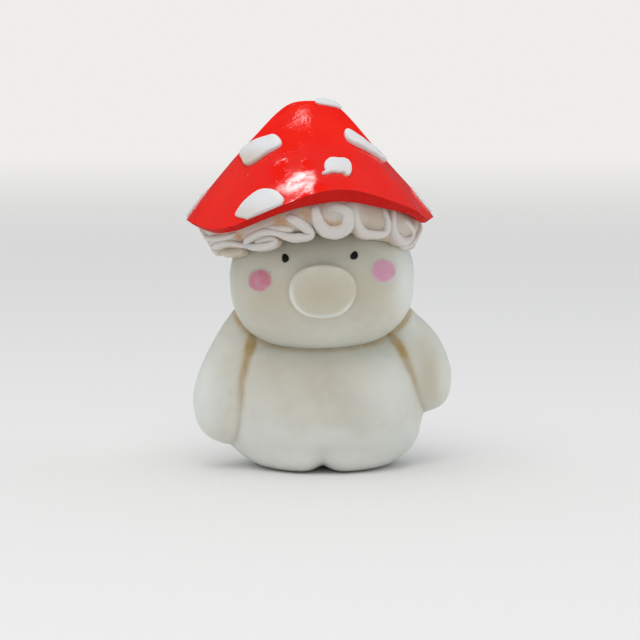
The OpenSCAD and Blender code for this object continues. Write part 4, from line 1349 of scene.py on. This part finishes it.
def make_white():
    """White clay: satin, with painted shade in the frill's folds and on the spots' lower parts, and grime and
    painted shade in its gaps.
    """
    material, tree, sockets = new_material("white_clay_satin", roughness=0.5, specular_ior_level=0.2,
                                           subsurface_weight=0.3, subsurface_scale=0.0012,
                                           subsurface_radius=(1.0, 0.8, 0.7), coat_weight=0.04,
                                           coat_roughness=0.25)
    clay = placed_group(tree, PATCHES, {"Base": WHITE, "Patch": WHITE_SHADE, "Patch Size": 0.004,
                                        "Patch Strength": 0.5})
    # Painted shade: the fold attribute mixes in a greyer, warmer white.
    fold = math_node(tree, "MULTIPLY", painted(tree, "fold"), 0.75)
    folded = mix_colour(tree, fold, clay["Color"], WHITE_FOLD_SHADE)
    clay = placed_group(tree, CREASE, {"Color": folded, "Grime And Shade": WHITE_GRIME_AND_SHADE, "Strength": 0.9})
    tree.links.new(clay["Color"], sockets["Base Color"])
    skin_height = placed_group(tree, SKIN, {"Dent Size": 0.0016, "Dents": 0.00005, "Smears": 0.00001,
                                            "Grain": 0.000003})
    bump(tree, skin_height["Height"], sockets)
    return material


def make_red(drop):
    """Red clay under brushed varnish: glossy, with faint streaks, some grain and one dried drop."""
    material, tree, sockets = new_material("red_clay_varnished", roughness=0.45, coat_weight=1.0,
                                           coat_roughness=0.14, coat_ior=1.5, specular_ior_level=0.0)
    clay = placed_group(tree, PATCHES, {"Base": RED, "Patch": RED_DEEP, "Patch Size": 0.012,
                                        "Patch Strength": 0.45})
    place = object_place(tree)
    glow = lumpy(tree, place, 70.0, 2.0)
    colour = mix_colour(tree, between(tree, glow, 0.45, 0.75, 0.0, 0.6), clay["Color"], RED_WARM)
    # Painted shade: the lip and hollow take a darker red.
    tree.links.new(mix_colour(tree, painted(tree, "band_shade"), colour, RED_BAND_SHADE), sockets["Base Color"])
    varnish = painted(tree, "varnish")
    brushed = lumpy(tree, stretched(tree, place, 0.22), 1100.0, 3.0)
    ripples = lumpy(tree, place, 260.0, 1.0)
    pimples = lumpy(tree, place, 2600.0, 2.0)
    grain = lumpy(tree, place, 1500.0, 3.0)
    rough = math_node(tree, "MULTIPLY", math_node(tree, "SUBTRACT", 1.0, varnish), 0.00014)
    apart = add(tree, "ShaderNodeVectorMath", {0: place, 1: tuple(drop)}, operation="DISTANCE")
    bead = between(tree, apart.outputs["Value"], 0.0, 0.0004, 0.00009, 0.0)
    bump(tree, relief(tree, (brushed, 0.00002), (ripples, 0.00009), (pimples, 0.000006),
                      (grain, rough), (bead, 1.0)), sockets)
    thin = math_node(tree, "MULTIPLY", varnish, between(tree, brushed, 0.3, 0.7, 0.45, 1.3))
    tree.links.new(math_node(tree, "MINIMUM", thin, 1.0), sockets["Coat Weight"])
    tree.links.new(sockets["Normal"].links[0].from_socket, sockets["Coat Normal"])
    return material


def make_pink():
    """Pink clay smoothed into the face: it fades to the face's own clay at the rim."""
    material, tree, sockets = new_material("pink_clay_soft", roughness=0.45, subsurface_weight=0.22,
                                           subsurface_scale=0.0016, subsurface_radius=(1.0, 0.85, 0.6),
                                           coat_weight=0.2, coat_roughness=0.3)
    place = object_place(tree)
    across = add(tree, "ShaderNodeSeparateXYZ", {0: place}).outputs["X"]
    pink = mix_colour(tree, between(tree, across, -0.004, 0.004), PINK_LEFT, PINK_RIGHT)
    cloud = lumpy(tree, place, 700.0, 2.0)
    pink = mix_colour(tree, between(tree, cloud, 0.4, 0.7, 0.0, 0.35), pink, PINK_CLOUD)
    ragged = math_node(tree, "ADD", painted(tree, "edge"), between(tree, cloud, 0.3, 0.7, -0.03, 0.03))
    clay = placed_group(tree, PATCHES, {"Base": PALE, "Patch": PALE_WARM, "Patch Size": 0.009})
    clay = placed_group(tree, SHADE_AND_LIGHT, {"Color": clay["Color"]})
    colour = mix_colour(tree, between(tree, ragged, 0.74, 1.04), pink, clay["Color"])
    tree.links.new(colour, sockets["Base Color"])
    skin_height = placed_group(tree, SKIN, {"Dent Size": 0.003, "Dents": 0.00003})
    bump(tree, skin_height["Height"], sockets)
    return material


def make_black():
    """A small glossy bead."""
    material, tree, sockets = new_material("black_clay_glossy", roughness=0.35, specular_ior_level=0.15,
                                           coat_weight=0.25, coat_roughness=0.12)
    worn = lumpy(tree, object_place(tree), 1800.0, 2.0)
    tree.links.new(mix_colour(tree, worn, BLACK, BLACK_WORN), sockets["Base Color"])
    skin_height = placed_group(tree, SKIN, {"Dent Size": 0.0006, "Dents": 0.00002})
    bump(tree, skin_height["Height"], sockets)
    return material


def make_wood():
    """A plain wooden pin: straight grain and darker pores along its length."""
    material, tree, sockets = new_material("plain_wood", roughness=0.6)
    place = object_place(tree)
    fibres = stretched(tree, place, 0.04)
    grain = lumpy(tree, fibres, 2600.0, 4.0)
    pores = lumpy(tree, fibres, 9000.0, 2.0)
    colour = mix_colour(tree, grain, WOOD_PALE, WOOD_GRAIN)
    colour = mix_colour(tree, between(tree, pores, 0.6, 0.75, 0.0, 0.6), colour, WOOD_PORE)
    tree.links.new(colour, sockets["Base Color"])
    tree.links.new(between(tree, pores, 0.4, 0.8, 0.5, 0.75), sockets["Roughness"])
    bump(tree, relief(tree, (pores, 0.00002)), sockets)
    return material


# Light, floor and camera

BACKDROP = (0.86, 0.85, 0.83, 1)
FLOOR_SHADE, FLOOR_PALE = (0.80, 0.79, 0.77, 1), (0.83, 0.82, 0.80, 1)
# The room in front of the figure and behind it: as the varnish mirrors it, and as it lights the figure
MIRROR_FRONT, MIRROR_BEHIND = (0.03, 0.03, 0.035, 1), (0.10, 0.11, 0.12, 1)
FILL_FRONT, FILL_BEHIND = (0.36, 0.365, 0.375, 1), (0.82, 0.86, 0.90, 1)


def make_camera():
    """A long lens that shows the figure from the front."""
    data = bpy.data.cameras.new("camera")
    data.lens, data.sensor_width = 150, 36
    camera = bpy.data.objects.new("camera", data)
    bpy.context.scene.collection.objects.link(camera)
    back = Vector(VIEW_BACK)
    camera.location = (Vector(VIEW_MIDDLE) + back * VIEW_FAR) * MM
    camera.rotation_mode = "QUATERNION"
    camera.rotation_quaternion = (-back).to_track_quat("-Z", "Y")
    data.clip_start, data.clip_end = 0.01, 20
    bpy.context.scene.camera = camera


def add_softbox(name, direction, distance, size, radiance, colour, shines):
    """A soft panel that faces the figure. One that shines is seen in reflections; another only lights."""
    data = bpy.data.lights.new(name, "AREA")
    data.shape, data.size, data.size_y = "RECTANGLE", size[0], size[1]
    data.energy, data.color = radiance * size[0] * size[1] * math.pi, colour
    lamp = bpy.data.objects.new(name, data)
    bpy.context.scene.collection.objects.link(lamp)
    lamp.visible_glossy, lamp.visible_diffuse = shines, not shines
    way = Vector(direction).normalized()
    lamp.location = Vector((0, 0, 0.035)) + way * distance
    across = Vector((1, 0, 0)) if abs(way.x) < 0.8 else Vector((0, 1, 0))
    across = (across - across.dot(way) * way).normalized()
    lamp.rotation_mode = "QUATERNION"
    lamp.rotation_quaternion = Matrix((across, way.cross(across), way)).transposed().to_quaternion()


def seen_rays(tree):
    """1 for rays that show the surroundings: straight from the camera, reflected or passed through."""
    rays = tree.nodes.new("ShaderNodeLightPath").outputs
    seen = math_node(tree, "MAXIMUM", rays["Is Camera Ray"], rays["Is Glossy Ray"])
    return math_node(tree, "MAXIMUM", seen, rays["Is Transmission Ray"])


def make_room():
    """An even pale room: what is seen of it is brighter than what it lights."""
    world = bpy.data.worlds.new("room")
    bpy.context.scene.world = world
    world.use_nodes = True
    tree = world.node_tree
    back = tree.nodes["Background"]
    rays = tree.nodes.new("ShaderNodeLightPath").outputs
    way = add(tree, "ShaderNodeSeparateXYZ", {0: tree.nodes.new("ShaderNodeTexCoord").outputs["Generated"]})
    behind = between(tree, way.outputs["Y"], -0.5, 0.6)
    mirrored = mix_colour(tree, behind, MIRROR_FRONT, MIRROR_BEHIND)
    filled = mix_colour(tree, behind, FILL_FRONT, FILL_BEHIND)
    lit = mix_colour(tree, rays["Is Glossy Ray"], filled, mirrored)
    seen = math_node(tree, "MAXIMUM", rays["Is Camera Ray"], rays["Is Transmission Ray"])
    tree.links.new(mix_colour(tree, seen, lit, BACKDROP), back.inputs["Color"])
    back.inputs["Strength"].default_value = 1.0


def make_floor():
    """A wide pale disc that fades into the backdrop's colour far from the figure."""
    sides, radii = 96, [0.03, 0.08, 0.2, 0.5, 1.2, 3.0]
    rows = [[(r * math.cos(TURN * k / sides), r * math.sin(TURN * k / sides), 0) for k in range(sides)]
            for r in radii]
    points = [(0, 0, 0)] + [p for row in rows for p in row]
    faces = [(0, 1 + k, 1 + (k + 1) % sides) for k in range(sides)]
    for level in range(len(radii) - 1):
        low = 1 + level * sides
        faces += [(low + k, low + sides + k, low + sides + (k + 1) % sides, low + (k + 1) % sides)
                  for k in range(sides)]
    mesh = bpy.data.meshes.new("pale_floor")
    mesh.from_pydata(points, [], faces)
    floor = new_object("pale_floor", mesh)
    material, tree, sockets = new_material("pale_floor_paper", roughness=0.75, specular_ior_level=0.25)
    place = object_place(tree)
    fibre = lumpy(tree, place, 900.0, 3.0)
    tree.links.new(mix_colour(tree, fibre, FLOOR_SHADE, FLOOR_PALE), sockets["Base Color"])
    bump(tree, relief(tree, (fibre, 0.00002)), sockets)
    flat = add(tree, "ShaderNodeVectorMath", {0: place}, operation="LENGTH").outputs["Value"]
    far = between(tree, flat, 0.12, 1.1)
    glow = add(tree, "ShaderNodeEmission", {"Color": BACKDROP, "Strength": 1.0})
    share = math_node(tree, "MULTIPLY", far, seen_rays(tree))
    mixed = add(tree, "ShaderNodeMixShader", {0: share, 1: tree.nodes["Principled BSDF"].outputs[0],
                                              2: glow.outputs[0]})
    tree.links.new(mixed.outputs[0], tree.nodes["Material Output"].inputs["Surface"])
    floor.data.materials.append(material)


make_camera()
make_room()
make_floor()
add_softbox("window", (-0.351, 0.346, 1.0), 0.8, (0.285, 0.125), 16.0, (0.98, 0.99, 1.0), True)
add_softbox("ceiling", (-0.12, -0.34, 0.93), 0.8, (0.8, 0.8), 1.8, (1.0, 0.99, 0.97), False)
add_softbox("front_panel", (0.05, -1.0, 0.3), 0.8, (0.6, 0.6), 0.5, (1.0, 0.99, 0.96), False)
add_softbox("left_panel", (-0.93, -0.25, 0.3), 0.7, (0.5, 0.5), 0.35, (0.94, 0.98, 1.0), False)
add_softbox("right_panel", (0.93, -0.05, 0.3), 0.7, (0.5, 0.5), 0.75, (0.94, 0.98, 1.0), False)

PATCHES, SPECKS, SHADE_AND_LIGHT = build_patches(), build_specks(), build_shade_and_light()
CREASE, SKIN = build_crease(), build_skin()
CLAY, WHITE_CLAY = make_clay(), make_white()
PINK_CLAY, BLACK_CLAY, WOOD = make_pink(), make_black(), make_wood()

head = make_head()
body = make_body()
arms = {"arm_left": make_arm("arm_left_roll", **ARM_LEFT),
        "arm_right": make_arm("arm_right_roll", **ARM_RIGHT)}
nose = make_nose()
cap = make_cap()
collar = make_collar()
frill = make_frill(WHITE_CLAY)
eyes = {name: make_eye(name + "_bead", *row) for name, row in EYES.items()}
head_tree, body_tree, frill_tree, cap_tree = (tree_of(piece) for piece in (head, body, frill, cap))
RED_CLAY = make_red(seen_on(cap_tree, [DROP_SEEN])[0] * MM)
cheeks = {name: make_cheek(name + "_disc", *row, head_tree) for name, row in CHEEKS.items()}
spots = {name: make_spot(name + "_blob", *row, seed) for seed, (name, row) in enumerate(SPOTS.items())}
spots.update({name: make_seen_spot(name + "_blob", *row, seed + 20, cap_tree)
              for seed, (name, row) in enumerate(SPOTS_SEEN.items())})

# Grime and painted shade in the creases between pieces; clay fills them.
arm_trees = [(tree_of(arm), 1.0) for arm in arms.values()]
press_together(body, [(head_tree, 0.6)] + arm_trees, reach=0.24, width=2.8)
press_together(head, [(body_tree, 0.6), (frill_tree, 0.35)] + arm_trees, reach=0.25, width=0)
for arm in arms.values():
    press_together(arm, [(body_tree, 1.0), (head_tree, 0.8)], reach=0.24, width=2.8)
press_together(nose, [(head_tree, 1.0)], reach=0.1, width=0)
# Painted shade and light on the pale clay pieces.
for piece in (head, body, nose, *arms.values(), *cheeks.values()):
    paint_shade_and_light(piece)
fill_crease(collar, nearness(collar, frill_tree, COLLAR_CREASE), COLLAR_CREASE)
paint_frill(collar, strength=1.0, pale=0.9, deep=1.3)
paint_frill(frill, strength=0.8, pale=0.56, deep=1.2)

finishes = {"pale_clay": CLAY, "white_clay": WHITE_CLAY, "red_clay": RED_CLAY, "pink_clay": PINK_CLAY,
            "black_clay": BLACK_CLAY}
plan = [(head, "head", "pale_clay"), (body, "body", "pale_clay"), (nose, "nose", "pale_clay"),
        (cap, "cap", "red_clay"), (collar, "cap_collar", "white_clay"), (frill, "gill_frill", "white_clay")]
plan += [(arm, name, "pale_clay") for name, arm in arms.items()]
plan += [(eye, name, "black_clay") for name, eye in eyes.items()]
plan += [(cheek, name, "pink_clay") for name, cheek in cheeks.items()]
plan += [(spot, name, "white_clay") for name, spot in spots.items()]
for piece, node, slot in plan:
    if not piece.data.materials:
        piece.data.materials.append(finishes[slot])
    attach(piece, "root")
    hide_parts(node)
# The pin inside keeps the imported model's own shape
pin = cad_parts["neck_pin"]
pin.data.materials.clear()
pin.data.materials.append(WOOD)

bpy.context.scene.view_settings.view_transform = "Standard"
